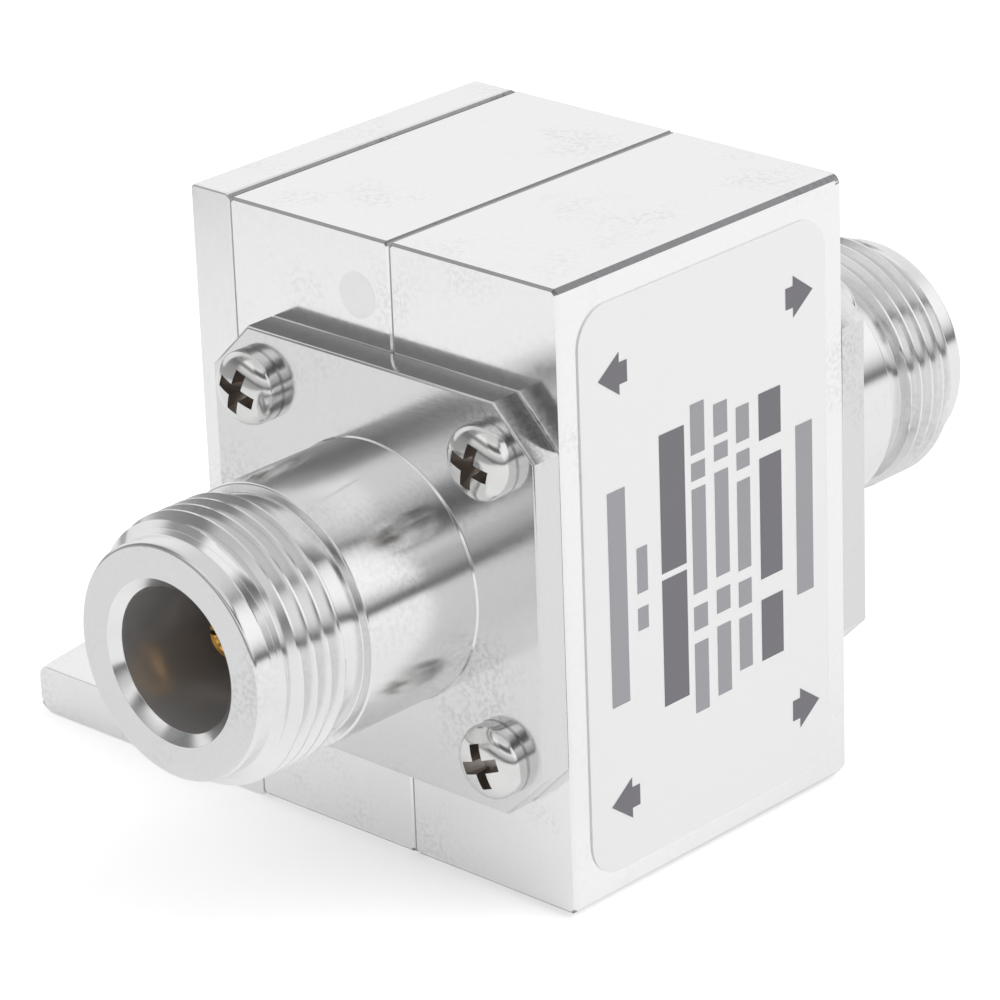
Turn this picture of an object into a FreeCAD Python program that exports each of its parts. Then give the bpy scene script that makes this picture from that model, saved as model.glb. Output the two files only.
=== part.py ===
"""In-line coaxial lightning arrestor: a split metal block with a threaded coaxial jack on each end.

The block's two halves are held to an L-shaped bracket by four long countersunk screws. Inside,
two conductor leaves carry disc capacitors between them, a gas tube stands between one leaf and
the block, and a coil drains the other leaf.

Frame: millimetres, +Z up, the connector axis along Y and the label towards +X. The origin is the
bottom centre of the whole part. Every size in the sheet stands by itself.
"""
import FreeCAD, Part
import math
import os

import Sketcher

Vector = FreeCAD.Vector
Rotation = FreeCAD.Rotation

SIZES = {
    # Bracket
    "plate_thickness": 3.2,
    "plate_drop": 0.25,
    "plate_rise": 0.15,
    "plate_edge_round": 0.35,
    "foot_corner_reach": 16.65,
    "foot_bulge": 1.3,
    "foot_thickness": 3.15,
    "foot_inner_round": 1.0,
    "toe_top_round": 0.8,
    "toe_bottom_round": 1.1,
    "foot_hole_diameter": 4.5,
    "foot_hole_spacing": 12.7,
    "foot_hole_reach": 9.0,
    # Block halves
    "block_height": 38.1,
    "block_length": 24.4,
    "middle_thickness": 12.7,
    "cover_thickness": 12.7,
    "block_edge_round": 0.7,
    "block_end_break": 0.18,
    "jack_height": 18.9,
    # Cavity between the halves
    "cavity_depth": 9.0,
    "cavity_half_height": 7.3,
    "end_wall": 3.0,
    "cavity_corner_round": 1.5,
    # Label
    "label_width": 21.2,
    "label_height": 34.8,
    "label_round": 2.3,
    "label_thickness": 0.1,
    "label_shift": 0.1,
    # Jack bodies
    "flange_side": 25.2,
    "flange_thickness": 2.1,
    "flange_chamfer": 3.0,
    "flange_break": 0.15,
    "jack_reach": 18.5,
    "barrel_diameter": 15.8,
    "barrel_reach": 10.6,
    "barrel_break": 0.2,
    "relief_diameter": 14.5,
    "thread_diameter": 15.875,
    "thread_start": 12.14,
    "thread_end": 16.3,
    "lead_diameter": 14.0,
    "face_break": 0.26,
    "bore_diameter": 8.6,
    "bore_depth": 9.1,
    "mouth_diameter": 9.86,
    "mouth_depth": 0.55,
    "core_diameter": 7.0,
    "bead_seat_diameter": 8.4,
    "bead_seat_depth": 1.6,
    # Centre contacts and their beads
    "bead_front": 5.0,
    "bead_clearance": 0.04,
    "contact_diameter": 3.04,
    "contact_setback": 4.4,
    "contact_tip_break": 0.25,
    "socket_diameter": 1.7,
    "socket_depth": 6.5,
    "slot_width": 0.3,
    "slot_depth": 5.6,
    "stem_diameter": 2.4,
    "pin_diameter": 1.4,
    # Screws
    "flange_screw_spacing": 18.26,
    "flange_screw_diameter": 2.5,
    "flange_screw_length": 7.0,
    "pan_diameter": 4.5,
    "pan_height": 1.6,
    "pan_round": 0.7,
    "recess_reach": 1.4,
    "recess_width": 0.75,
    "recess_depth": 1.0,
    "recess_taper": 12.0,
    "hole_clearance": 0.06,
    "flange_hole_diameter": 2.9,
    "tip_space": 0.6,
    "body_screw_diameter": 3.0,
    "body_screw_length": 24.0,
    "body_screw_wall": 0.8,
    "body_screw_low": 6.3,
    "flat_head_diameter": 5.6,
    "flat_head_rim": 0.2,
    "body_hole_diameter": 3.3,
    # Conductor leaves and capacitors
    "leaf_thickness": 0.6,
    "leaf_width": 6.0,
    "leaf_overlap": 4.7,
    "leaf_bend_round": 0.4,
    "tab_face": 7.0,
    "tab_rise": 1.5,
    "capacitor_diameter": 4.6,
    "capacitor_thickness": 3.4,
    "capacitor_spacing": 4.9,
    # Gas tube
    "tube_diameter": 8.0,
    "tube_place": 2.4,
    "ceramic_wall": 1.4,
    "ceramic_length": 4.0,
    "electrode_rim": 1.0,
    "electrode_boss_diameter": 3.2,
    "electrode_gap": 0.8,
    "spring_height": 0.6,
    "spring_strip": 0.25,
    "spring_hole_diameter": 3.6,
    "tube_pocket_clearance": 0.3,
    # Drain coil and its screw
    "wire_diameter": 0.5,
    "coil_radius": 1.25,
    "coil_turns": 5.5,
    "coil_place": -1.0,
    "coil_start": 3.4,
    "coil_foot": 2.4,
    "coil_screw_distance": 4.0,
    "coil_screw_diameter": 2.0,
    "coil_screw_length": 3.0,
    "coil_pan_diameter": 3.8,
    "coil_pan_height": 1.3,
    "solder_gap": 0.02,
}

# Turn of each cross recess about its screw, in degrees, by quadrant (sideways, upwards).
QUADRANTS = {"upper_left": (-1, 1), "upper_right": (1, 1), "lower_right": (1, -1), "lower_left": (-1, -1)}
FLANGE_TWISTS = {
    "equipment": {"upper_left": 70.0, "upper_right": 75.0, "lower_right": 20.0, "lower_left": 40.0},
    "antenna": {"upper_left": 15.0, "upper_right": 62.0, "lower_right": 33.0, "lower_left": 80.0},
}
BODY_TWISTS = {"upper_left": 25.0, "upper_right": 50.0, "lower_right": 5.0, "lower_left": 66.0}

doc = FreeCAD.newDocument("arrestor")
sheet = doc.addObject("Spreadsheet::Sheet", "size")
for row, (alias, amount) in enumerate(SIZES.items(), start=1):
    sheet.set(f"A{row}", alias)
    sheet.set(f"B{row}", str(amount))
    sheet.setAlias(f"B{row}", alias)
doc.recompute()

# Places worked out from the sheet, as expressions
FOOT_REACH = "(size.foot_corner_reach + size.foot_bulge)"
BLOCKS = "(size.plate_thickness + size.middle_thickness + size.cover_thickness)"
PLATE_X = f"(({FOOT_REACH} - {BLOCKS} - size.label_thickness) / 2)"
MIDDLE_X = f"({PLATE_X} + size.plate_thickness)"
SEAM_X = f"({MIDDLE_X} + size.middle_thickness)"
COVER_FACE_X = f"({SEAM_X} + size.cover_thickness)"
END_Y = "(size.block_length / 2)"
CAVITY_Y = f"({END_Y} - size.end_wall)"
BLOCK_Z = "size.plate_drop"
BLOCK_TOP_Z = "(size.plate_drop + size.block_height)"
AXIS_Z = "(size.plate_drop + size.jack_height)"
FACE = "size.jack_reach"
SCREW_OFFSET = "size.flange_screw_spacing / 2"
FLANGE_HOLE_DEPTH = "(size.flange_screw_length - size.flange_thickness + size.tip_space)"
BODY_SCREW_Y = f"({END_Y} - {FLANGE_HOLE_DEPTH} - size.body_screw_wall - size.body_hole_diameter / 2)"
BODY_SCREW_Z = {
    -1: f"({BLOCK_Z} + size.body_screw_low)",
    1: f"({BLOCK_TOP_Z} - size.body_screw_low)",
}
SINK_DIAMETER = "(size.flat_head_diameter + 2 * size.flat_head_rim + 4 * size.hole_clearance)"
LEAF_INNER = "size.capacitor_thickness / 2"
LEAF_OUTER = "(size.capacitor_thickness / 2 + size.leaf_thickness)"
TUBE_TOP_Z = f"({AXIS_Z} - {LEAF_OUTER})"
TUBE_LENGTH = "(size.ceramic_length + 2 * size.electrode_rim)"
TUBE_BOTTOM_Z = f"({TUBE_TOP_Z} - {TUBE_LENGTH})"
TUBE_POCKET_Z = f"({TUBE_BOTTOM_Z} - size.spring_height)"
COIL_Z = f"({AXIS_Z} + {LEAF_OUTER} + size.wire_diameter / 2 + size.solder_gap + size.coil_radius)"
COIL_END = "(size.cavity_depth - size.wire_diameter / 2 - size.solder_gap)"
COIL_SCREW_Y = "(size.coil_place - size.coil_screw_distance)"
COIL_SCREW_Z = (
    f"({COIL_Z} + size.coil_radius - size.wire_diameter / 2"
    " - size.coil_screw_diameter / 2 - size.hole_clearance)"
)


def number(expression):
    """Value of an expression of the sheet."""
    return float(sheet.evalExpression(expression))


def new_body(label):
    """Body with a label, which names its file."""
    made = doc.addObject("PartDesign::Body", label)
    made.Label = label
    return made


def plane_sketch(owner, name, role, height="0"):
    """Sketch on one of the body's origin planes, raised along the plane's normal."""
    drawn = owner.newObject("Sketcher::SketchObject", f"{owner.Label}_{name}")
    plane = [feature for feature in owner.Origin.OriginFeatures if feature.Role == role][0]
    drawn.AttachmentSupport = [(plane, "")]
    drawn.MapMode = "FlatFace"
    drawn.setExpression("AttachmentOffset.Base.z", height)
    return drawn


def fix_point(drawn, geometry, position, across, up):
    """Ties a point of the sketch to two expressions."""
    for kind, expression in (("DistanceX", across), ("DistanceY", up)):
        constraint = Sketcher.Constraint(kind, -1, 1, geometry, position, number(expression))
        index = drawn.addConstraint(constraint)
        if "size." in expression:
            drawn.setExpression(f"Constraints[{index}]", expression)


def draw_polygon(drawn, corners):
    """Closed outline of straight lines, each corner tied to expressions."""
    points = [Vector(number(across), number(up), 0) for across, up in corners]
    first = drawn.GeometryCount
    for index, point in enumerate(points):
        drawn.addGeometry(Part.LineSegment(point, points[(index + 1) % len(points)]), False)
    for index, (across, up) in enumerate(corners):
        following = first + (index + 1) % len(corners)
        drawn.addConstraint(Sketcher.Constraint("Coincident", first + index, 2, following, 1))
        fix_point(drawn, first + index, 1, across, up)


def draw_rectangle(drawn, left, bottom, right, top):
    """Closed rectangle from four expressions."""
    draw_polygon(drawn, [(left, bottom), (right, bottom), (right, top), (left, top)])


def draw_circle(drawn, across, up, diameter):
    """Circle whose centre and diameter are tied to expressions."""
    centre = Vector(number(across), number(up), 0)
    circle = drawn.addGeometry(Part.Circle(centre, Vector(0, 0, 1), number(diameter) / 2), False)
    fix_point(drawn, circle, 3, across, up)
    index = drawn.addConstraint(Sketcher.Constraint("Diameter", circle, number(diameter)))
    drawn.setExpression(f"Constraints[{index}]", diameter)


def pad(owner, drawn, length, both_ways=False, reverse=False):
    """Solid pulled out of a sketch."""
    made = owner.newObject("PartDesign::Pad", f"{drawn.Name}_pad")
    made.Profile = drawn
    made.setExpression("Length", length)
    made.Midplane = both_ways
    made.Reversed = reverse
    doc.recompute()
    return made


def pocket(owner, drawn, depth, both_ways=False, reverse=False, taper="0"):
    """Cut pushed into the body from a sketch; a pocket that removes nothing is an error."""
    before = owner.Shape.Volume
    made = owner.newObject("PartDesign::Pocket", f"{drawn.Name}_pocket")
    made.Profile = drawn
    made.setExpression("Length", depth)
    made.Midplane = both_ways
    made.Reversed = reverse
    made.setExpression("TaperAngle", taper)
    doc.recompute()
    if made.Shape.Volume >= before:
        raise RuntimeError(f"{made.Name} removes nothing")
    return made


def turn(owner, drawn, kind="PartDesign::Revolution"):
    """Solid of revolution, or a groove, about the sketch's upright axis."""
    made = owner.newObject(kind, f"{drawn.Name}_turned")
    made.Profile = drawn
    made.ReferenceAxis = (drawn, ["V_Axis"])
    made.Angle = 360
    doc.recompute()
    return made


def edges_where(feature, test):
    """Names of the edges all of whose points pass a test."""
    names = []
    for index, edge in enumerate(feature.Shape.Edges, start=1):
        if all(test(point) for point in edge.discretize(Number=5)):
            names.append(f"Edge{index}")
    return names


def work_edges(owner, feature, names, kind, driven, size):
    """Fillet or chamfer feature on the named edges, with its driven size tied to an expression."""
    made = owner.newObject(f"PartDesign::{kind}", f"{feature.Name}_{kind.lower()}")
    made.Base = (feature, names)
    made.setExpression(driven, size)
    doc.recompute()
    return made


def round_edges(owner, feature, names, radius):
    """Fillet of the named edges."""
    return work_edges(owner, feature, names, "Fillet", "Radius", radius)


def break_edges(owner, feature, names, size):
    """Chamfer of the named edges."""
    return work_edges(owner, feature, names, "Chamfer", "Size", size)


def near(first, second):
    """Whether two lengths agree to a hundredth of a millimetre."""
    return abs(first - second) < 0.01


def place(made, across, along, up, rotation=Rotation()):
    """Ties a body's place to expressions and sets its turn."""
    made.Placement = FreeCAD.Placement(Vector(0, 0, 0), rotation)
    for axis, expression in (("x", across), ("y", along), ("z", up)):
        made.setExpression(f"Placement.Base.{axis}", expression)


def cross_recess(owner, height, twist):
    """Tapered cross cut into a screw head whose top lies at the given height."""
    drawn = plane_sketch(owner, "recess", "XY_Plane", height)
    arm, half = "size.recess_reach", "size.recess_width / 2"
    outline = [
        (arm, f"-{half}"), (arm, half), (half, half), (half, arm), (f"-{half}", arm), (f"-{half}", half),
        (f"-{arm}", half), (f"-{arm}", f"-{half}"), (f"-{half}", f"-{half}"), (f"-{half}", f"-{arm}"),
        (half, f"-{arm}"), (half, f"-{half}"),
    ]
    draw_polygon(drawn, outline)
    drawn.AttachmentOffset = FreeCAD.Placement(
        drawn.AttachmentOffset.Base, Rotation(Vector(0, 0, 1), twist)
    )
    return pocket(owner, drawn, "size.recess_depth", taper="-size.recess_taper")


def pan_screw(label, diameter, length, head_diameter, head_height, twist):
    """Pan-head screw along +Z, with the underside of its head at the origin."""
    screw = new_body(label)
    section = plane_sketch(screw, "section", "XZ_Plane")
    shank, head = f"{diameter} / 2", f"{head_diameter} / 2"
    draw_polygon(section, [
        ("0", f"-{length}"), (f"{shank} - {diameter} * 0.15", f"-{length}"),
        (shank, f"-{length} + {diameter} * 0.15"), (shank, "0"),
        (head, "0"), (head, head_height), ("0", head_height),
    ])
    turned = turn(screw, section)
    top, rim = number(head_height), number(head)
    rims = edges_where(turned, lambda p: near(p.z, top) and near(math.hypot(p.x, p.y), rim))
    round_edges(screw, turned, rims, "size.pan_round")
    cross_recess(screw, head_height, twist)
    return screw


def flat_screw(label, twist):
    """Countersunk screw along +Z, with the top of its head at the origin."""
    screw = new_body(label)
    section = plane_sketch(screw, "section", "XZ_Plane")
    shank, head = "size.body_screw_diameter / 2", "size.flat_head_diameter / 2"
    cone_foot = f"-(size.flat_head_rim + {head} - {shank})"
    draw_polygon(section, [
        ("0", "-size.body_screw_length"), (f"{shank} * 0.7", "-size.body_screw_length"),
        (shank, f"-size.body_screw_length + {shank} * 0.3"), (shank, cone_foot),
        (head, "-size.flat_head_rim"), (head, "0"), ("0", "0"),
    ])
    turn(screw, section)
    cross_recess(screw, "0", twist)
    return screw


def group(label, members):
    """One node that holds several like solids."""
    made = doc.addObject("Part::Compound", label)
    made.Label = label
    made.Links = members
    return made


def make_bracket():
    """L-shaped bracket: upright plate against the block and a foot with a bowed end."""
    bracket = new_body("mounting_bracket")
    upright = plane_sketch(bracket, "upright", "XZ_Plane")
    draw_rectangle(upright, PLATE_X, "0", MIDDLE_X, f"{BLOCK_TOP_Z} + size.plate_rise")
    pad(bracket, upright, "size.block_length", both_ways=True)

    foot = plane_sketch(bracket, "foot", "XY_Plane")
    end_x = f"({PLATE_X} - size.foot_corner_reach)"
    draw_foot(foot, end_x)
    plate = pad(bracket, foot, "size.foot_thickness")

    inner_x, outer_x, top = number(PLATE_X), number(MIDDLE_X), number("size.foot_thickness")
    corner = edges_where(plate, lambda p: near(p.x, inner_x) and near(p.z, top))
    folded = round_edges(bracket, plate, corner, "size.foot_inner_round")

    corner_x = number(end_x)
    toe_top = edges_where(folded, lambda p: p.x < corner_x + 0.01 and near(p.z, top))
    toe = round_edges(bracket, folded, toe_top, "size.toe_top_round")
    toe_bottom = edges_where(toe, lambda p: p.x < corner_x + 0.01 and near(p.z, 0))
    toe = round_edges(bracket, toe, toe_bottom, "size.toe_bottom_round")

    peak = number(f"{BLOCK_TOP_Z} + size.plate_rise")
    long_edges = [
        name for name in edges_where(toe, lambda p: near(p.z, peak) or (near(p.z, 0) and near(p.x, outer_x)))
        if toe.Shape.getElement(name).Length > number("size.block_length") - 1
    ]
    round_edges(bracket, toe, long_edges, "size.plate_edge_round")

    holes = plane_sketch(bracket, "foot_holes", "XY_Plane")
    for side in (-1, 1):
        across = f"{PLATE_X} - size.foot_hole_reach"
        draw_circle(holes, across, f"{side} * size.foot_hole_spacing / 2", "size.foot_hole_diameter")
    pocket(bracket, holes, "size.foot_thickness", reverse=True)

    shanks = plane_sketch(bracket, "screw_holes", "YZ_Plane", MIDDLE_X)
    draw_body_screw_circles(shanks, "size.body_hole_diameter")
    pocket(bracket, shanks, "size.plate_thickness")
    sinks = plane_sketch(bracket, "countersinks", "YZ_Plane", PLATE_X)
    draw_body_screw_circles(sinks, SINK_DIAMETER)
    pocket(bracket, sinks, f"({SINK_DIAMETER} - size.body_hole_diameter) / 2", reverse=True, taper="-45")
    return bracket


def draw_foot(drawn, end_x):
    """Plan of the foot: straight flanks flush with the block's ends and one bowed end."""
    half, bulge = number(END_Y), number("size.foot_bulge")
    radius = (half * half + bulge * bulge) / (2 * bulge)
    corner_x, root_x = number(end_x), number(PLATE_X)
    corners = [Vector(corner_x, -half, 0), Vector(root_x, -half, 0), Vector(root_x, half, 0),
               Vector(corner_x, half, 0)]
    for start, finish in zip(corners[:-1], corners[1:]):
        drawn.addGeometry(Part.LineSegment(start, finish), False)
    centre = Vector(corner_x - bulge + radius, 0, 0)
    sweep = math.asin(half / radius)
    circle = Part.Circle(centre, Vector(0, 0, 1), radius)
    drawn.addGeometry(Part.ArcOfCircle(circle, math.pi - sweep, math.pi + sweep), False)
    fix_point(drawn, 0, 1, end_x, f"-{END_Y}")
    fix_point(drawn, 0, 2, PLATE_X, f"-{END_Y}")
    fix_point(drawn, 1, 2, PLATE_X, END_Y)
    fix_point(drawn, 2, 2, end_x, END_Y)
    for first, second in ((0, 1), (1, 2)):
        drawn.addConstraint(Sketcher.Constraint("Coincident", first, 2, second, 1))
    drawn.addConstraint(Sketcher.Constraint("Coincident", 2, 2, 3, 1))
    drawn.addConstraint(Sketcher.Constraint("Coincident", 3, 2, 0, 1))
    index = drawn.addConstraint(Sketcher.Constraint("Radius", 3, radius))
    drawn.setExpression(
        f"Constraints[{index}]", f"({END_Y} ^ 2 + size.foot_bulge ^ 2) / (2 * size.foot_bulge)"
    )


def draw_body_screw_circles(drawn, diameter):
    """Four circles on the long screws' axes, in a sketch across X."""
    for side in (-1, 1):
        for level in (-1, 1):
            draw_circle(drawn, f"{side} * {BODY_SCREW_Y}", BODY_SCREW_Z[level], diameter)


def make_block(label, side):
    """One half of the block: side is -1 between bracket and seam, 1 on the label's side."""
    block = new_body(label)
    outer_x = MIDDLE_X if side < 0 else COVER_FACE_X
    outline = plane_sketch(block, "outline", "XZ_Plane")
    draw_rectangle(outline, outer_x, BLOCK_Z, SEAM_X, BLOCK_TOP_Z)
    raw = pad(block, outline, "size.block_length", both_ways=True)

    half, low, high = number(END_Y), number(BLOCK_Z), number(BLOCK_TOP_Z)
    long_edges = [
        name for name in edges_where(raw, lambda p: near(p.z, low) or near(p.z, high))
        if raw.Shape.getElement(name).Length > number("size.block_length") - 0.01
        and abs(raw.Shape.getElement(name).tangentAt(0).y) > 0.9
    ]
    rounded = round_edges(block, raw, long_edges, "size.block_edge_round")
    end_edges = edges_where(rounded, lambda p: near(abs(p.y), half))
    break_edges(block, rounded, end_edges, "size.block_end_break")

    cavity = plane_sketch(block, "cavity", "YZ_Plane", SEAM_X)
    draw_rectangle(cavity, f"-{CAVITY_Y}", f"{AXIS_Z} - size.cavity_half_height",
                   CAVITY_Y, f"{AXIS_Z} + size.cavity_half_height")
    hollow = pocket(block, cavity, "size.cavity_depth", reverse=side > 0)
    inner_y, inner_z, axis_z = number(CAVITY_Y), number("size.cavity_half_height"), number(AXIS_Z)
    corners = edges_where(hollow, lambda p: near(abs(p.y), inner_y) and near(abs(p.z - axis_z), inner_z))
    round_edges(block, hollow, corners, "size.cavity_corner_round")

    bores = plane_sketch(block, "bores", "XZ_Plane")
    draw_circle(bores, SEAM_X, AXIS_Z, "size.core_diameter")
    pocket(block, bores, "size.block_length", both_ways=True)

    for end, name in ((-1, "equipment"), (1, "antenna")):
        taps = plane_sketch(block, f"{name}_taps", "XZ_Plane", f"{-end} * {END_Y}")
        for level in (-1, 1):
            draw_circle(taps, f"{SEAM_X} + {side} * {SCREW_OFFSET}", f"{AXIS_Z} + {level} * {SCREW_OFFSET}",
                        "size.flange_screw_diameter + 2 * size.hole_clearance")
        pocket(block, taps, FLANGE_HOLE_DEPTH, reverse=end > 0)

    seat = plane_sketch(block, "tube_seat", "XY_Plane", f"{AXIS_Z} - size.cavity_half_height")
    draw_circle(seat, SEAM_X, "size.tube_place", "size.tube_diameter + 2 * size.tube_pocket_clearance")
    pocket(block, seat, f"{AXIS_Z} - size.cavity_half_height - {TUBE_POCKET_Z}")

    long_holes = plane_sketch(block, "long_holes", "YZ_Plane", SEAM_X)
    if side < 0:
        draw_body_screw_circles(long_holes, "size.body_hole_diameter")
        pocket(block, long_holes, "size.middle_thickness")
    else:
        draw_body_screw_circles(long_holes, "size.body_screw_diameter + 2 * size.hole_clearance")
        pocket(block, long_holes, "size.body_screw_length - size.plate_thickness"
               " - size.middle_thickness + size.tip_space", reverse=True)
        coil_hole = plane_sketch(block, "coil_hole", "YZ_Plane", f"{SEAM_X} + size.cavity_depth")
        draw_circle(coil_hole, COIL_SCREW_Y, COIL_SCREW_Z,
                    "size.coil_screw_diameter + 2 * size.hole_clearance")
        pocket(block, coil_hole, "size.coil_screw_length - size.wire_diameter", reverse=True)
    return block


def make_label():
    """Thin sticker with rounded corners on the cover's outer face."""
    label = new_body("label")
    outline = plane_sketch(label, "outline", "YZ_Plane", COVER_FACE_X)
    draw_rectangle(outline, "-size.label_width / 2 - size.label_shift",
                   f"{AXIS_Z} - size.label_height / 2",
                   "size.label_width / 2 - size.label_shift",
                   f"{AXIS_Z} + size.label_height / 2")
    sheet_pad = pad(label, outline, "size.label_thickness")
    face_x = number(COVER_FACE_X)
    corners = [
        f"Edge{index}" for index, edge in enumerate(sheet_pad.Shape.Edges, start=1)
        if abs(edge.tangentAt(0).x) > 0.9 and edge.BoundBox.XMin > face_x - 0.01
    ]
    round_edges(label, sheet_pad, corners, "size.label_round")
    return label


def make_jack(end, rotation, along):
    """Turned jack with its square flange, modelled along +Z from the block's face."""
    body = new_body(f"{end}_jack_body")
    half, cut = "size.flange_side / 2", "size.flange_chamfer"
    plate = plane_sketch(body, "flange", "XY_Plane")
    inset = f"({half} - {cut})"
    draw_polygon(plate, [
        (f"-{inset}", f"-{half}"), (inset, f"-{half}"), (half, f"-{inset}"), (half, inset),
        (inset, half), (f"-{inset}", half), (f"-{half}", inset), (f"-{half}", f"-{inset}"),
    ])
    flange = pad(body, plate, "size.flange_thickness")
    top = number("size.flange_thickness")
    outline = edges_where(flange, lambda p: near(p.z, top))
    break_edges(body, flange, outline, "size.flange_break")

    barrel, thread, lead = "size.barrel_diameter / 2", "size.thread_diameter / 2", "size.lead_diameter / 2"
    outside = plane_sketch(body, "outside", "XZ_Plane")
    draw_polygon(outside, [
        ("0", "0"), (barrel, "0"), (barrel, "size.barrel_reach - size.barrel_break"),
        (f"{barrel} - size.barrel_break", "size.barrel_reach"),
        ("size.relief_diameter / 2", "size.barrel_reach"), ("size.relief_diameter / 2", "size.thread_start"),
        (thread, "size.thread_start"), (thread, "size.thread_end"),
        (lead, f"size.thread_end + {thread} - {lead}"), (lead, f"{FACE} - size.face_break"),
        (f"{lead} - size.face_break", FACE), ("0", FACE),
    ])
    turn(body, outside)

    bore, core, seat = "size.bore_diameter / 2", "size.core_diameter / 2", "size.bead_seat_diameter / 2"
    inside = plane_sketch(body, "inside", "XZ_Plane")
    draw_polygon(inside, [
        ("0", "0"), (seat, "0"), (seat, "size.bead_seat_depth"), (core, "size.bead_seat_depth"),
        (core, f"{FACE} - size.bore_depth"), (bore, f"{FACE} - size.bore_depth"),
        (bore, f"{FACE} - size.mouth_depth"), ("size.mouth_diameter / 2", FACE), ("0", FACE),
    ])
    turn(body, inside, "PartDesign::Groove")

    holes = plane_sketch(body, "screw_holes", "XY_Plane")
    for across, up in QUADRANTS.values():
        draw_circle(holes, f"{across} * {SCREW_OFFSET}", f"{up} * {SCREW_OFFSET}",
                    "size.flange_hole_diameter")
    pocket(body, holes, "size.flange_thickness", reverse=True)
    place(body, SEAM_X, along, AXIS_Z, rotation)
    return body


def make_insulator(end, rotation, along):
    """Bead that carries the contact: its collar is trapped between jack and block."""
    bead = new_body(f"{end}_jack_insulator")
    outer = "size.core_diameter / 2 - size.bead_clearance"
    collar = "size.bead_seat_diameter / 2 - size.bead_clearance"
    collar_top = "size.bead_seat_depth - size.bead_clearance"
    hole = "size.stem_diameter / 2 + size.bead_clearance"
    section = plane_sketch(bead, "section", "XZ_Plane")
    draw_polygon(section, [
        (hole, "-size.end_wall"), (outer, "-size.end_wall"), (outer, "size.bead_clearance"),
        (collar, "size.bead_clearance"), (collar, collar_top), (outer, collar_top),
        (outer, "size.bead_front"), (hole, "size.bead_front"),
    ])
    turn(bead, section)
    place(bead, SEAM_X, along, AXIS_Z, rotation)
    return bead


def make_contact(end, rotation, along):
    """Gold contact: a socket split into four fingers, a stem through the bead and a rear pin."""
    contact = new_body(f"{end}_jack_contact")
    tip = f"({FACE} - size.contact_setback)"
    outer, socket = "size.contact_diameter / 2", "size.socket_diameter / 2"
    stem, pin = "size.stem_diameter / 2", "size.pin_diameter / 2"
    shoulder = "size.bead_front + size.bead_clearance"
    root = "-(size.end_wall + size.bead_clearance)"
    pin_end = f"-({END_Y} - size.tab_face + size.leaf_thickness + size.pin_diameter / 4)"
    section = plane_sketch(contact, "section", "XZ_Plane")
    draw_polygon(section, [
        ("0", pin_end), (pin, pin_end), (pin, root), (stem, root), (stem, shoulder), (outer, shoulder),
        (outer, f"{tip} - size.contact_tip_break"), (f"{outer} - size.contact_tip_break", tip),
        (f"{socket} + size.contact_tip_break / 2", tip), (socket, f"{tip} - size.contact_tip_break / 2"),
        (socket, f"{tip} - size.socket_depth"), ("0", f"{tip} - size.socket_depth - {socket} * 0.6"),
    ])
    turn(contact, section)
    for name, role in (("slot_across", "XZ_Plane"), ("slot_upright", "YZ_Plane")):
        slot = plane_sketch(contact, name, role)
        draw_rectangle(slot, "-size.slot_width / 2", f"{tip} - size.slot_depth", "size.slot_width / 2", tip)
        pocket(contact, slot, "size.contact_diameter", both_ways=True)
    place(contact, SEAM_X, along, AXIS_Z, rotation)
    return contact


def make_flange_screws(end, rotation, direction):
    """Four pan-head screws of one flange."""
    screws = []
    for name, (across, up) in QUADRANTS.items():
        screw = pan_screw(f"{end}_flange_screw_{name}", "size.flange_screw_diameter",
                          "size.flange_screw_length", "size.pan_diameter", "size.pan_height",
                          FLANGE_TWISTS[end][name])
        place(screw, f"{SEAM_X} + {across} * {SCREW_OFFSET}",
              f"{direction} * ({END_Y} + size.flange_thickness)",
              f"{AXIS_Z} + {up} * {SCREW_OFFSET}", rotation)
        screws.append(screw)
    return group(f"{end}_flange_screws", screws)


def make_body_screws():
    """Four countersunk screws from the bracket's outer face into the cover."""
    screws = []
    for name, (side, level) in QUADRANTS.items():
        screw = flat_screw(f"body_screw_{name}", BODY_TWISTS[name])
        place(screw, f"{PLATE_X} + size.hole_clearance", f"{side} * {BODY_SCREW_Y}",
              BODY_SCREW_Z[level], Rotation(Vector(0, 1, 0), -90))
        screws.append(screw)
    return group("body_screws", screws)


def make_strip(end, direction):
    """Bent conductor leaf: an upright tab on the contact's pin and a flat leaf along Y."""
    strip = new_body(f"{end}_strip")
    tab_y, tab_back = "size.tab_face", "size.tab_face - size.leaf_thickness"
    section = plane_sketch(strip, "section", "YZ_Plane")
    draw_polygon(section, [
        ("-size.leaf_overlap", f"-{LEAF_OUTER}"), (tab_y, f"-{LEAF_OUTER}"), (tab_y, "size.tab_rise"),
        (tab_back, "size.tab_rise"), (tab_back, f"-{LEAF_INNER}"), ("-size.leaf_overlap", f"-{LEAF_INNER}"),
    ])
    bent = pad(strip, section, "size.leaf_width", both_ways=True)
    outer_y, outer_z = number(tab_y), -number(LEAF_OUTER)
    bend = edges_where(bent, lambda p: near(p.y, outer_y) and near(p.z, outer_z))
    round_edges(strip, bent, bend, "size.leaf_bend_round")
    hole = plane_sketch(strip, "pin_hole", "XZ_Plane", "-size.tab_face")
    draw_circle(hole, "0", "0", "size.pin_diameter + 2 * size.bead_clearance")
    pocket(strip, hole, "size.leaf_thickness", reverse=True)
    turned = Rotation() if direction > 0 else Rotation(Vector(1, 0, 0), 180)
    place(strip, SEAM_X, "0", AXIS_Z, turned)
    return strip


def make_capacitor(label, direction):
    """Disc capacitor between the two leaves."""
    disc = doc.addObject("Part::Cylinder", label)
    disc.Label = label
    disc.setExpression("Radius", "size.capacitor_diameter / 2")
    disc.setExpression("Height", "size.capacitor_thickness")
    place(disc, SEAM_X, f"{direction} * size.capacitor_spacing / 2", f"{AXIS_Z} - {LEAF_INNER}")
    return disc


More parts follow.
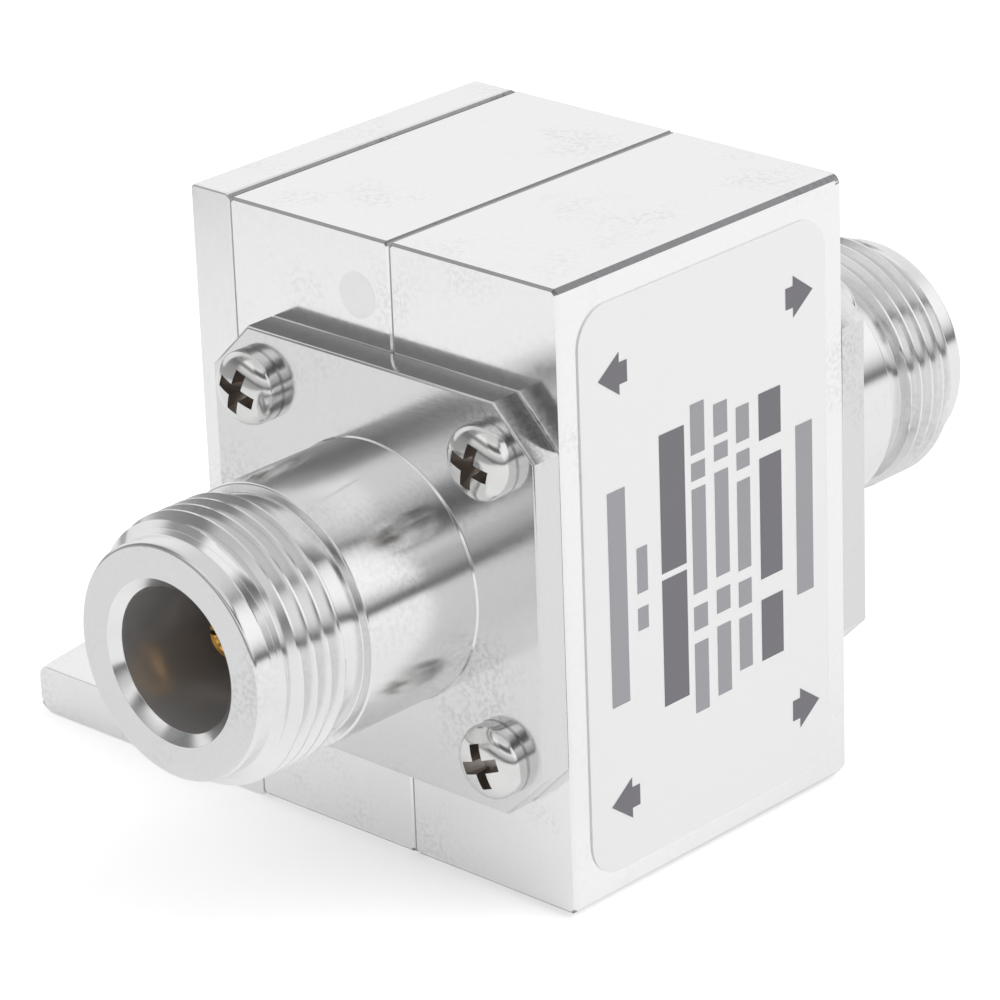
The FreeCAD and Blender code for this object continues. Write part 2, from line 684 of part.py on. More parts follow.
def make_gas_tube():
    """Gas tube: a ceramic ring closed by two metal electrodes that nearly meet inside."""
    outer, rim = "size.tube_diameter / 2", "size.electrode_rim"
    ceramic = new_body("gas_tube_ceramic")
    ring = plane_sketch(ceramic, "section", "XZ_Plane")
    draw_rectangle(ring, f"{outer} - size.ceramic_wall", rim, outer, f"{rim} + size.ceramic_length")
    turn(ceramic, ring)
    place(ceramic, SEAM_X, "size.tube_place", TUBE_BOTTOM_Z)
    made = [ceramic]
    boss, boss_top = "size.electrode_boss_diameter / 2", f"{TUBE_LENGTH} / 2 - size.electrode_gap / 2"
    for label, height, turned in (
        ("gas_tube_ground_electrode", TUBE_BOTTOM_Z, Rotation()),
        ("gas_tube_line_electrode", TUBE_TOP_Z, Rotation(Vector(1, 0, 0), 180)),
    ):
        electrode = new_body(label)
        section = plane_sketch(electrode, "section", "XZ_Plane")
        draw_polygon(section, [
            ("0", "0"), (outer, "0"), (outer, rim), (boss, rim), (boss, boss_top), ("0", boss_top),
        ])
        turn(electrode, section)
        place(electrode, SEAM_X, "size.tube_place", height, turned)
        made.append(electrode)
    return made


def make_tube_spring():
    """Cone spring washer that presses the gas tube to the leaf."""
    spring = new_body("gas_tube_spring")
    section = plane_sketch(spring, "section", "XZ_Plane")
    hole, outer = "size.spring_hole_diameter / 2", "size.tube_diameter / 2"
    draw_polygon(section, [
        (outer, "0"), (outer, "size.spring_strip"), (hole, "size.spring_height"),
        (hole, "size.spring_height - size.spring_strip"),
    ])
    turn(spring, section)
    place(spring, SEAM_X, "size.tube_place", TUBE_POCKET_Z)
    return spring


def make_drain_coil():
    """Wire coil along X from the equipment leaf to the screw on the cover's cavity floor."""
    along_x = Rotation(Vector(0, 1, 0), 90)
    helix = doc.addObject("Part::Helix", "coil_path")
    helix.setExpression("Pitch", f"({COIL_END} - size.coil_start) / size.coil_turns")
    helix.setExpression("Height", f"{COIL_END} - size.coil_start")
    helix.setExpression("Radius", "size.coil_radius")
    wire = doc.addObject("Part::Circle", "coil_wire")
    wire.setExpression("Radius", "size.wire_diameter / 2")
    wire.Placement = FreeCAD.Placement(Vector(0, 0, 0), Rotation(Vector(1, 0, 0), 90))
    wire.setExpression("Placement.Base.x", "size.coil_radius")
    turns = doc.addObject("Part::Sweep", "coil_turns_swept")
    turns.Sections = [wire]
    turns.Spine = (helix, ["Edge1"])
    turns.Solid = True
    turns.Frenet = True
    place(turns, f"{SEAM_X} + size.coil_start", "size.coil_place", COIL_Z, along_x)

    foot = doc.addObject("Part::Cylinder", "coil_foot_wire")
    foot.setExpression("Radius", "size.wire_diameter / 2")
    foot.setExpression("Height", "size.coil_foot")
    place(foot, f"{SEAM_X} + size.coil_start - size.coil_foot", "size.coil_place",
          f"{COIL_Z} - size.coil_radius", along_x)
    elbow = doc.addObject("Part::Sphere", "coil_elbow")
    elbow.setExpression("Radius", "size.wire_diameter / 2")
    place(elbow, f"{SEAM_X} + size.coil_start", "size.coil_place", f"{COIL_Z} - size.coil_radius")
    tail = doc.addObject("Part::Cylinder", "coil_tail_wire")
    tail.setExpression("Radius", "size.wire_diameter / 2")
    tail.setExpression("Height", "size.coil_screw_distance + size.coil_screw_diameter")
    place(tail, f"{SEAM_X} + {COIL_END}", "size.coil_place", f"{COIL_Z} + size.coil_radius",
          Rotation(Vector(1, 0, 0), 90))

    coil = doc.addObject("Part::MultiFuse", "drain_coil")
    coil.Label = "drain_coil"
    coil.Shapes = [turns, foot, elbow, tail]
    return coil


def make_coil_screw():
    """Small pan-head screw that clamps the coil's tail to the cavity floor."""
    screw = pan_screw("coil_screw", "size.coil_screw_diameter", "size.coil_screw_length",
                      "size.coil_pan_diameter", "size.coil_pan_height", 30.0)
    place(screw, f"{SEAM_X} + size.cavity_depth - size.wire_diameter - 2 * size.solder_gap",
          COIL_SCREW_Y, COIL_SCREW_Z, Rotation(Vector(0, 1, 0), -90))
    return screw


def build():
    """All pieces of the arrestor, in the order of the list of pieces."""
    pieces = [make_bracket(), make_block("middle_block", -1), make_block("cover_block", 1), make_label()]
    forward = Rotation(Vector(1, 0, 0), 90)
    ends = (
        ("equipment", -1, forward),
        ("antenna", 1, Rotation(Vector(0, 0, 1), 180).multiply(forward)),
    )
    for end, direction, rotation in ends:
        along = f"{direction} * {END_Y}"
        pieces.append(make_jack(end, rotation, along))
        pieces.append(make_insulator(end, rotation, along))
        pieces.append(make_contact(end, rotation, along))
        pieces.append(make_flange_screws(end, rotation, direction))
        pieces.append(make_strip(end, direction))
    pieces.append(make_capacitor("front_capacitor", -1))
    pieces.append(make_capacitor("rear_capacitor", 1))
    pieces.extend(make_gas_tube())
    pieces.append(make_tube_spring())
    pieces.append(make_drain_coil())
    pieces.append(make_coil_screw())
    pieces.append(make_body_screws())
    doc.recompute()
    return pieces


def check(pieces):
    """Stops the run where an object failed or a piece has no sound shape."""
    for item in doc.Objects:
        if "Invalid" in item.State or "Error" in item.State:
            raise RuntimeError(f"{item.Name} failed: {item.State}")
    for piece in pieces:
        if piece.Shape.isNull() or not piece.Shape.isValid() or not piece.Shape.Solids:
            raise RuntimeError(f"{piece.Label} has no sound shape")


def export(pieces):
    """One file for each piece, named by its label."""
    os.makedirs("parts", exist_ok=True)
    for piece in pieces:
        piece.Shape.exportStep(f"parts/{piece.Label}.step")
        box = piece.Shape.BoundBox
        print(f"{piece.Label:28s} {len(piece.Shape.Solids)} solid(s) {piece.Shape.Volume:10.2f} mm3 "
              f"x {box.XMin:.2f}..{box.XMax:.2f} y {box.YMin:.2f}..{box.YMax:.2f} "
              f"z {box.ZMin:.2f}..{box.ZMax:.2f}")


parts = build()
check(parts)
export(parts)
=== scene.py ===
"""Looks of the in-line coaxial lightning arrestor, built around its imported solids.

Every piece is modelled in the row's frame: +Z up, the connector axis along Y, the label towards +X.
Sizes are in millimetres and become metres through MM, unless a docstring says metres.
"""

import logging
import math
from dataclasses import dataclass, field
from enum import Enum

import bmesh
import bpy
from mathutils import Matrix, Vector


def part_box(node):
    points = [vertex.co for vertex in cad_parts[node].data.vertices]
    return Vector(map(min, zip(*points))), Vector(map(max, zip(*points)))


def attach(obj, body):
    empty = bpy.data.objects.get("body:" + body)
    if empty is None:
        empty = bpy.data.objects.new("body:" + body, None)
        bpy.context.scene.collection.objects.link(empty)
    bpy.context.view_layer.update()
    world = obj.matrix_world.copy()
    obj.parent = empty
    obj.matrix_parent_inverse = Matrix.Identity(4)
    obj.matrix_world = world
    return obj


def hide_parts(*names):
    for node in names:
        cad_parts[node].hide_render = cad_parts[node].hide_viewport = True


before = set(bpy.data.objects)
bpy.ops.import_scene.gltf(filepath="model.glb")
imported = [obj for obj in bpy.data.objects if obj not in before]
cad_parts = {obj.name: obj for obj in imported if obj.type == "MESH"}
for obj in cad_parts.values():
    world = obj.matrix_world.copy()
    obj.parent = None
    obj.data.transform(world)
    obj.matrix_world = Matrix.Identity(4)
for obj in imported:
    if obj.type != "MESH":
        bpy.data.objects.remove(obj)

LOG = logging.getLogger("arrestor")
MM = 0.001
Value = float | bpy.types.NodeSocket

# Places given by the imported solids, in metres
COVER_LOW, COVER_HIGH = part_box("cover_block")
JACK_LOW, JACK_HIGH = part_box("equipment_jack_body")
BRACKET_SIDE_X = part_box("mounting_bracket")[1].x
LABEL_FACE_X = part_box("label")[1].x
SEAM_X = COVER_LOW.x
FRONT_Y = COVER_LOW.y
AXIS = Vector((SEAM_X, 0.0, (JACK_LOW.z + JACK_HIGH.z) / 2))

# Width over bracket and blocks, from whose left edge the fitted camera is measured
BODY_WIDTH = 28.6
# Largest share of an outline's edge that a rounded corner may take
LARGEST_CUT = 0.45


class Grain(Enum):
    """Surface pattern that a finish carries."""

    PLAIN = "plain"
    SATIN = "satin"
    ROLLED = "rolled"
    TURNED = "turned"
    MILLED = "milled"


@dataclass(frozen=True)
class Finish:
    """Look of one surface.

    Args:
        name: material and process, as read by a person.
        colour: sRGB hex colour.
        metallic: 1 for bare metal, 0 for anything else.
        roughness: how wide the reflections spread.
        grain: pattern that the process leaves.
        spread: how much the pattern changes the roughness.
        relief: height of the pattern's bump in millimetres.
        turned: how much more the reflections spread across the turning marks than along them.
        stain: how much darker the handling marks are.
    """

    name: str
    colour: str
    metallic: float = 1.0
    roughness: float = 0.3
    grain: Grain = Grain.PLAIN
    spread: float = 0.05
    relief: float = 0.0
    turned: float = 0.0
    stain: float = 0.0


class Shade:
    """All finishes of the part. The comment over each says what it gives the eye."""

    # Near-white rolled plate, softer than the blocks, with faint upright lines
    PLATE = Finish("satin_nickel_plated_plate", "F3F3F3", 1.0, 0.24, Grain.ROLLED, 0.05, 0.0012, stain=0.12)
    # Near-white faces that mirror the studio as even fields, with faint handling marks
    BLOCK = Finish("satin_nickel_plated_block", "F2F2F2", 1.0, 0.13, Grain.SATIN, 0.05, 0.0008, stain=0.12)
    # Fine rings that smear the reflections into long bands on the barrels
    TURNED = Finish("white_bronze_turned", "E9E9E9", 1.0, 0.17, Grain.TURNED, 0.04, 0.0010, 0.75, 0.1)
    # Slightly greyer face that sets the flange off from the block
    FLANGE = Finish("white_bronze_milled", "DCDCDD", 1.0, 0.14, Grain.MILLED, 0.05, 0.0012, stain=0.15)
    # Dull grey wall that keeps the depth of the bore readable
    BORE = Finish("white_bronze_bored", "D2D0CF", 0.66, 0.22, Grain.TURNED, 0.08, 0.0016)
    # Thin dark band between two white faces: painted shade for the dark studio that the top's edges and the
    # front's lower break mirror, with patches of handling marks
    PAINTED_EDGE_SHADE = Finish("nickel_plated_edge_painted_shade", "9C9C9F", 1.0, 0.3, Grain.SATIN, 0.1, 0.0020, stain=0.5)
    # Bright crowned heads with small crisp reflections
    SCREW = Finish("nickel_plated_steel", "DEDEDD", 1.0, 0.14, Grain.SATIN, 0.05, 0.0006)
    # Brownish dull floor of the cross recesses
    RECESS = Finish("recess_steel", "A9A19B", 1.0, 0.36, Grain.SATIN, 0.05, 0.0010)
    # Soft grey line where two plates meet on an upright face: partly the dark joint, partly painted shade in
    # the groove
    JOINT_AND_PAINTED_SHADE = Finish("joint_line_and_painted_shade", "C4C4C6", 0.0, 0.6, Grain.PLAIN)
    # Painted shade: the same line made darker on the top and underneath, where the groove looks darker
    JOINT_DEEPER_PAINTED_SHADE = Finish("joint_line_deeper_painted_shade", "A2A2A4", 0.0, 0.6, Grain.PLAIN)
    # Warm yellow, the one strong colour of the outside
    GOLD = Finish("gold_plated_contact", "D9A957", 1.0, 0.2, Grain.TURNED, 0.04, 0.0006)
    # Waxy off-white
    BEAD = Finish("white_fluoroplastic", "E9E6DE", 0.0, 0.5, Grain.SATIN, 0.03, 0.0004)
    # Even matt white that sets the label off from the metal
    FILM = Finish("label_film", "F4F4F4", 0.0, 0.42, Grain.SATIN, 0.03, 0.0003)
    # Solid mid grey of arrows and heavy print
    INK = Finish("grey_print", "76747A", 0.0, 0.55, Grain.PLAIN)
    # Disc just darker than the plating
    MARK = Finish("tool_mark_on_plating", "EEEEEE", 1.0, 0.22, Grain.SATIN, 0.05, 0.0010)
    # Lighter grey, as lines of thin strokes look from a step away
    THIN_INK = Finish("grey_thin_print", "A3A2A7", 0.0, 0.55, Grain.PLAIN)
    # Pale copper with rolling lines
    LEAF = Finish("tinned_copper_leaf", "C99B7A", 1.0, 0.35, Grain.ROLLED, 0.05, 0.0010)
    # Orange brown glaze
    CAPACITOR = Finish("dipped_ceramic_capacitor", "B9762F", 0.0, 0.35, Grain.SATIN, 0.05, 0.002)
    # Chalky white tube
    ALUMINA = Finish("alumina_tube", "EDEAE2", 0.0, 0.45, Grain.SATIN, 0.04, 0.0006)
    # Grey caps, darker than the plating outside
    CAP = Finish("nickel_plated_electrode", "C6C5C2", 1.0, 0.25, Grain.SATIN, 0.05, 0.0006)
    # Dark bare steel
    SPRING = Finish("spring_steel", "8F8E8C", 1.0, 0.3, Grain.ROLLED, 0.05, 0.0006)
    # Red copper
    WIRE = Finish("bare_copper_wire", "C9774B", 1.0, 0.25, Grain.SATIN, 0.05, 0.0004)


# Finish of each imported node
NODE_FINISHES = {
    "mounting_bracket": Shade.PLATE, "middle_block": Shade.BLOCK, "cover_block": Shade.BLOCK,
    "label": Shade.FILM, "coil_screw": Shade.SCREW, "body_screws": Shade.SCREW,
    "front_capacitor": Shade.CAPACITOR, "rear_capacitor": Shade.CAPACITOR,
    "gas_tube_ceramic": Shade.ALUMINA, "gas_tube_ground_electrode": Shade.CAP,
    "gas_tube_line_electrode": Shade.CAP, "gas_tube_spring": Shade.SPRING, "drain_coil": Shade.WIRE,
    **{f"{end}_{piece}": finish for end in ("equipment", "antenna") for piece, finish in {
        "jack_body": Shade.TURNED, "jack_insulator": Shade.BEAD, "jack_contact": Shade.GOLD,
        "flange_screws": Shade.SCREW, "strip": Shade.LEAF}.items()},
}


def colour(code: str) -> tuple:
    """Linear colour of an sRGB hex code.

    Args:
        code: six hex digits.

    Returns:
        Red, green, blue and 1, linear.
    """
    parts = [int(code[at:at + 2], 16) / 255 for at in (0, 2, 4)]
    linear = [part / 12.92 if part <= 0.04045 else ((part + 0.055) / 1.055) ** 2.4 for part in parts]
    return (*linear, 1.0)


class Graph:
    """Thin cover of a node tree.

    Args:
        tree: the shader, world or geometry tree that nodes are added to.
    """

    def __init__(self, tree: bpy.types.NodeTree) -> None:
        """Keeps the tree."""
        self.tree = tree

    def add(self, kind: str, inputs: dict | None = None, **settings: object) -> bpy.types.Node:
        """Adds a node.

        Args:
            kind: node type.
            inputs: value or output socket for each input, by name or index.
            settings: properties of the node.

        Returns:
            The node.
        """
        node = self.tree.nodes.new(kind)
        for key, value in settings.items():
            setattr(node, key, value)
        for key, value in (inputs or {}).items():
            if isinstance(value, bpy.types.NodeSocket):
                self.tree.links.new(value, node.inputs[key])
            else:
                node.inputs[key].default_value = value
        return node

    def math(self, operation: str, *values: Value) -> bpy.types.NodeSocket:
        """Output of a math node on numbers or sockets."""
        return self.add("ShaderNodeMath", dict(enumerate(values)), operation=operation).outputs[0]

    def vector(self, operation: str, *values: object) -> bpy.types.Node:
        """Vector math node on vectors or sockets."""
        return self.add("ShaderNodeVectorMath", dict(enumerate(values)), operation=operation)

    def length(self, first: Value, second: Value) -> bpy.types.NodeSocket:
        """Square root of the sum of two squares."""
        squares = [self.math("MULTIPLY", value, value) for value in (first, second)]
        return self.math("SQRT", self.math("ADD", *squares))

    def range(self, value: Value, low: float, high: float, start: float, end: float,
              kind: str = "SMOOTHSTEP") -> bpy.types.NodeSocket:
        """Value moved from one range to another."""
        inputs = {"Value": value, "From Min": low, "From Max": high, "To Min": start, "To Max": end}
        return self.add("ShaderNodeMapRange", inputs, interpolation_type=kind).outputs["Result"]

    def mix(self, factor: Value, first: object, second: object, kind: str = "FLOAT") -> bpy.types.NodeSocket:
        """Blend of two numbers, or with the kind RGBA of two colours."""
        node = self.add("ShaderNodeMix", {"Factor": factor, "A": first, "B": second}, data_type=kind)
        return node.outputs["Result"]

    def noise(self, place: Value, scale: float, detail: float) -> bpy.types.NodeSocket:
        """Noise from 0 to 1, with its scale per metre."""
        return self.add("ShaderNodeTexNoise", {"Vector": place, "Scale": scale, "Detail": detail}).outputs[0]


class Materials:
    """Makes each finish once. Scales of patterns are per metre."""

    # Patches about 5 mm across, filled with specks of about 0.3 mm
    PATCH_SCALE = 190.0
    SPECK_SCALE = 3200.0
    # Noise where patches and specks start and are full, and their strength at both
    PATCH_RANGE = (0.5, 0.72, 0.12, 1.0)
    SPECK_RANGE = (0.4, 0.65, 0.0, 1.0)
    # Turning rings about 0.1 mm apart
    RING_SCALE = 9000.0
    # Fine all over, long upright lines, and long strokes along X
    STRETCH = {
        Grain.SATIN: (2500.0, 2500.0, 2500.0),
        Grain.ROLLED: (5000.0, 5000.0, 500.0),
        Grain.MILLED: (1200.0, 300.0, 9000.0),
    }

    def __init__(self) -> None:
        """Starts with no material."""
        self.made: dict[str, bpy.types.Material] = {}

    def get(self, finish: Finish) -> bpy.types.Material:
        """Material of a finish.

        Args:
            finish: the look.

        Returns:
            The material, made at the first call.
        """
        if finish.name not in self.made:
            self.made[finish.name] = self.build(finish)
        return self.made[finish.name]

    def build(self, finish: Finish) -> bpy.types.Material:
        """Principled material whose pattern comes from the process that made the surface.

        Args:
            finish: the look.

        Returns:
            The new material.
        """
        material = bpy.data.materials.new(finish.name)
        material.use_nodes = True
        material.diffuse_color = colour(finish.colour)
        graph = Graph(material.node_tree)
        shader = material.node_tree.nodes["Principled BSDF"]
        shader.inputs["Base Color"].default_value = colour(finish.colour)
        shader.inputs["Metallic"].default_value = finish.metallic
        shader.inputs["Roughness"].default_value = finish.roughness
        if finish.grain is Grain.PLAIN:
            return material
        link = material.node_tree.links.new
        pattern = self.pattern(graph, finish.grain)
        rough = graph.range(pattern, 0.0, 1.0, finish.roughness - finish.spread,
                            finish.roughness + finish.spread, "LINEAR")
        link(rough, shader.inputs["Roughness"])
        relief = {"Height": pattern, "Distance": finish.relief * MM, "Strength": 1.0}
        bump = graph.add("ShaderNodeBump", relief)
        link(bump.outputs["Normal"], shader.inputs["Normal"])
        if finish.stain:
            link(self.marks(graph, finish), shader.inputs["Base Color"])
        if finish.turned:
            shader.inputs["Anisotropic"].default_value = finish.turned
            link(self.across_rings(graph), shader.inputs["Tangent"])
        return material

    def marks(self, graph: Graph, finish: Finish) -> bpy.types.NodeSocket:
        """Base colour with patches of fine speckle, as fingers and swarf leave on plating.

        Args:
            graph: nodes of the material.
            finish: the look, with its colour and stain.

        Returns:
            The colour.
        """
        place = graph.add("ShaderNodeTexCoord").outputs["Object"]
        patch = graph.range(graph.noise(place, self.PATCH_SCALE, 2.0), *self.PATCH_RANGE)
        speck = graph.range(graph.noise(place, self.SPECK_SCALE, 2.0), *self.SPECK_RANGE)
        clean = colour(finish.colour)
        dark = tuple(part * (1 - finish.stain) for part in clean[:3]) + (1.0,)
        return graph.mix(graph.math("MULTIPLY", patch, speck), clean, dark, "RGBA")

    def across_rings(self, graph: Graph) -> bpy.types.NodeSocket:
        """Direction across the turning marks: along the axis on barrels, outward on faces.

        Args:
            graph: nodes of the material.

        Returns:
            The direction.
        """
        place = graph.add("ShaderNodeTexCoord").outputs["Object"]
        arm = graph.vector("SUBTRACT", place, tuple(AXIS)).outputs[0]
        ring = graph.vector("CROSS_PRODUCT", (0.0, 1.0, 0.0), arm).outputs[0]
        facing = graph.add("ShaderNodeNewGeometry").outputs["Normal"]
        return graph.vector("CROSS_PRODUCT", facing, ring).outputs[0]

    def pattern(self, graph: Graph, grain: Grain) -> bpy.types.NodeSocket:
        """Pattern of a grain. Turned rings run about the connector axis, round barrels and faces alike.

        Args:
            graph: nodes of the material.
            grain: which pattern.

        Returns:
            A value from 0 to 1 over the surface.
        """
        place = graph.add("ShaderNodeTexCoord").outputs["Object"]
        if grain is not Grain.TURNED:
            stretch = {"Vector": place, "Scale": self.STRETCH[grain]}
            return graph.noise(graph.add("ShaderNodeMapping", stretch).outputs["Vector"], 1.0, 3.0)
        centred = graph.add("ShaderNodeMapping", {"Vector": place, "Location": (-AXIS.x, 0.0, -AXIS.z)})
        across, along, up = graph.add("ShaderNodeSeparateXYZ", {"Vector": centred.outputs["Vector"]}).outputs
        rings = graph.add("ShaderNodeCombineXYZ", {"X": graph.length(across, up), "Y": along})
        scaled = graph.add("ShaderNodeMapping", {
            "Vector": rings.outputs["Vector"], "Scale": (self.RING_SCALE, self.RING_SCALE, 1.0),
        })
        return graph.noise(scaled.outputs["Vector"], 1.0, 2.0)


def link_mesh(name: str, mesh: bpy.types.ID) -> bpy.types.Object:
    """Object of a mesh or curve, linked to the scene.

    Args:
        name: name of the object.
        mesh: its mesh or curve.

    Returns:
        The object.
    """
    made = bpy.data.objects.new(name, mesh)
    bpy.context.scene.collection.objects.link(made)
    return made


def mesh_from(shape: bmesh.types.BMesh, name: str) -> bpy.types.Mesh:
    """Plain mesh of a bmesh, which is freed.

    Args:
        shape: the bmesh.
        name: name of the mesh.

    Returns:
        The mesh.
    """
    mesh = bpy.data.meshes.new(name)
    shape.to_mesh(mesh)
    shape.free()
    return mesh


def evaluated_mesh(made: bpy.types.Object) -> bpy.types.Mesh:
    """Plain mesh of an object with its modifiers applied."""
    return bpy.data.meshes.new_from_object(made.evaluated_get(bpy.context.evaluated_depsgraph_get()))


def cut_with(made: bpy.types.Object, cutter: bpy.types.Object, operation: str) -> None:
    """Cuts a piece with another object, which is then removed.

    Args:
        made: the piece.
        cutter: closed object that cuts it.
        operation: kind of boolean.
    """
    cut = made.modifiers.new("cut", "BOOLEAN")
    cut.operation = operation
    cut.solver = "EXACT"
    cut.object = cutter
    mesh = evaluated_mesh(made)
    made.modifiers.remove(cut)
    made.data = mesh
    bpy.data.objects.remove(cutter)


def dress(made: bpy.types.Object, materials: Materials, *finishes: Finish) -> None:
    """Fills a piece's material slots, in the order of its faces' indices."""
    for finish in finishes:
        made.data.materials.append(materials.get(finish))


def finish_object(made: bpy.types.Object, angle: float = 32.0) -> bpy.types.Object:
    """Smooths a new piece by angle, ties it to the body and reports it.

    Args:
        made: the piece.
        angle: edges sharper than this many degrees stay sharp.

    Returns:
        The piece.
    """
    made.data.shade_smooth()
    made.data.set_sharp_from_angle(angle=math.radians(angle))
    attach(made, "root")
    LOG.info("%s: %d faces", made.name, len(made.data.polygons))
    return made


def lathe(points: list, steps: int) -> bpy.types.Mesh:
    """Closed turned mesh about +Z.

    Args:
        points: closed outline as (radius, height) in millimetres.
        steps: number of segments round the axis.

    Returns:
        The mesh, with its poles closed and its faces outward.
    """
    shape = bmesh.new()
    rings = []
    turns = [2 * math.pi * step / steps for step in range(steps)]
    for radius, height in points:
        if radius < 1e-6:
            rings.append([shape.verts.new((0, 0, height * MM))])
            continue
        reach = radius * MM
        rings.append([shape.verts.new((reach * math.cos(turn), reach * math.sin(turn), height * MM))
                      for turn in turns])
    for first, second in zip(rings, rings[1:] + rings[:1]):
        if len(first) == 1 and len(second) == 1:
            continue
        for step in range(steps):
            following = (step + 1) % steps
            corners = [first[step % len(first)], first[following % len(first)],
                       second[following % len(second)], second[step % len(second)]]
            shape.faces.new(list(dict.fromkeys(corners)))
    bmesh.ops.recalc_face_normals(shape, faces=shape.faces)
    return mesh_from(shape, "turned")


def rounded(points: list, radius: float, steps: int = 4) -> list:
    """Outline with every corner rounded by a small arc.

    Args:
        points: closed outline as (radius, height), with an own rounding where a corner has one.
        radius: rounding for corners that name none.
        steps: points along each arc.

    Returns:
        Outline as (radius, height).
    """
    made = []
    count = len(points)
    for index, (across, up, *own) in enumerate(points):
        corner = Vector((across, up))
        size = own[0] if own else radius
        before = Vector(points[index - 1][:2]) - corner
        after = Vector(points[(index + 1) % count][:2]) - corner
        if size <= 0 or before.length < 1e-9 or after.length < 1e-9:
            made.append((across, up))
            continue
        half = before.angle(after) / 2
        cut = min(size / math.tan(half), before.length * LARGEST_CUT, after.length * LARGEST_CUT)
        start, end = corner + before.normalized() * cut, corner + after.normalized() * cut
        for step in range(steps + 1):
            part = step / steps
            bend = start * (1 - part) ** 2 + corner * (2 * part * (1 - part)) + end * part ** 2
            made.append((bend.x, bend.y))
    return made


def circle(across: float, up: float, radius: float, steps: int = 96) -> list:
    """Corners of a circle about a centre."""
    turns = [2 * math.pi * step / steps for step in range(steps)]
    return [(across + radius * math.cos(turn), up + radius * math.sin(turn)) for turn in turns]


def merge_meshes(name: str, meshes: list) -> bpy.types.Mesh:
    """One mesh of several, with their material indices kept.

    Args:
        name: name of the mesh.
        meshes: the meshes.

    Returns:
        The mesh.
    """
    shape = bmesh.new()
    for mesh in meshes:
        shape.from_mesh(mesh)
    return mesh_from(shape, name)


def node_tree(name: str, inputs: dict) -> bpy.types.GeometryNodeTree:
    """Empty geometry tree with a geometry input and output, and named inputs.

    Args:
        name: name of the tree.
        inputs: kind of socket for each further input, by its name.

    Returns:
        The tree.
    """
    tree = bpy.data.node_groups.new(name, "GeometryNodeTree")
    for label, kind in {"Geometry": "Geometry", **inputs}.items():
        tree.interface.new_socket(label, in_out="INPUT", socket_type=f"NodeSocket{kind}")
    tree.interface.new_socket("Geometry", in_out="OUTPUT", socket_type="NodeSocketGeometry")
    return tree


def evaluate_tree(tree: bpy.types.NodeTree, values: dict, base: bpy.types.Mesh) -> bpy.types.Mesh:
    """Plain mesh that a geometry tree makes.

    Args:
        tree: geometry nodes.
        values: value of each named input.
        base: mesh that the tree starts from.

    Returns:
        The evaluated mesh with outward faces.
    """
    holder = link_mesh("holder", base)
    modifier = holder.modifiers.new("tree", "NODES")
    modifier.node_group = tree
    for item in tree.interface.items_tree:
        if item.in_out == "INPUT" and item.name in values:
            modifier[item.identifier] = values[item.name]
    holder.update_tag()
    mesh = evaluated_mesh(holder)
    holder.modifiers.remove(modifier)
    bpy.data.objects.remove(holder)
    polished = bmesh.new()
    polished.from_mesh(mesh)
    bmesh.ops.remove_doubles(polished, verts=polished.verts, dist=1e-7)
    bmesh.ops.recalc_face_normals(polished, faces=polished.faces)
    polished.to_mesh(mesh)
    polished.free()
    return mesh


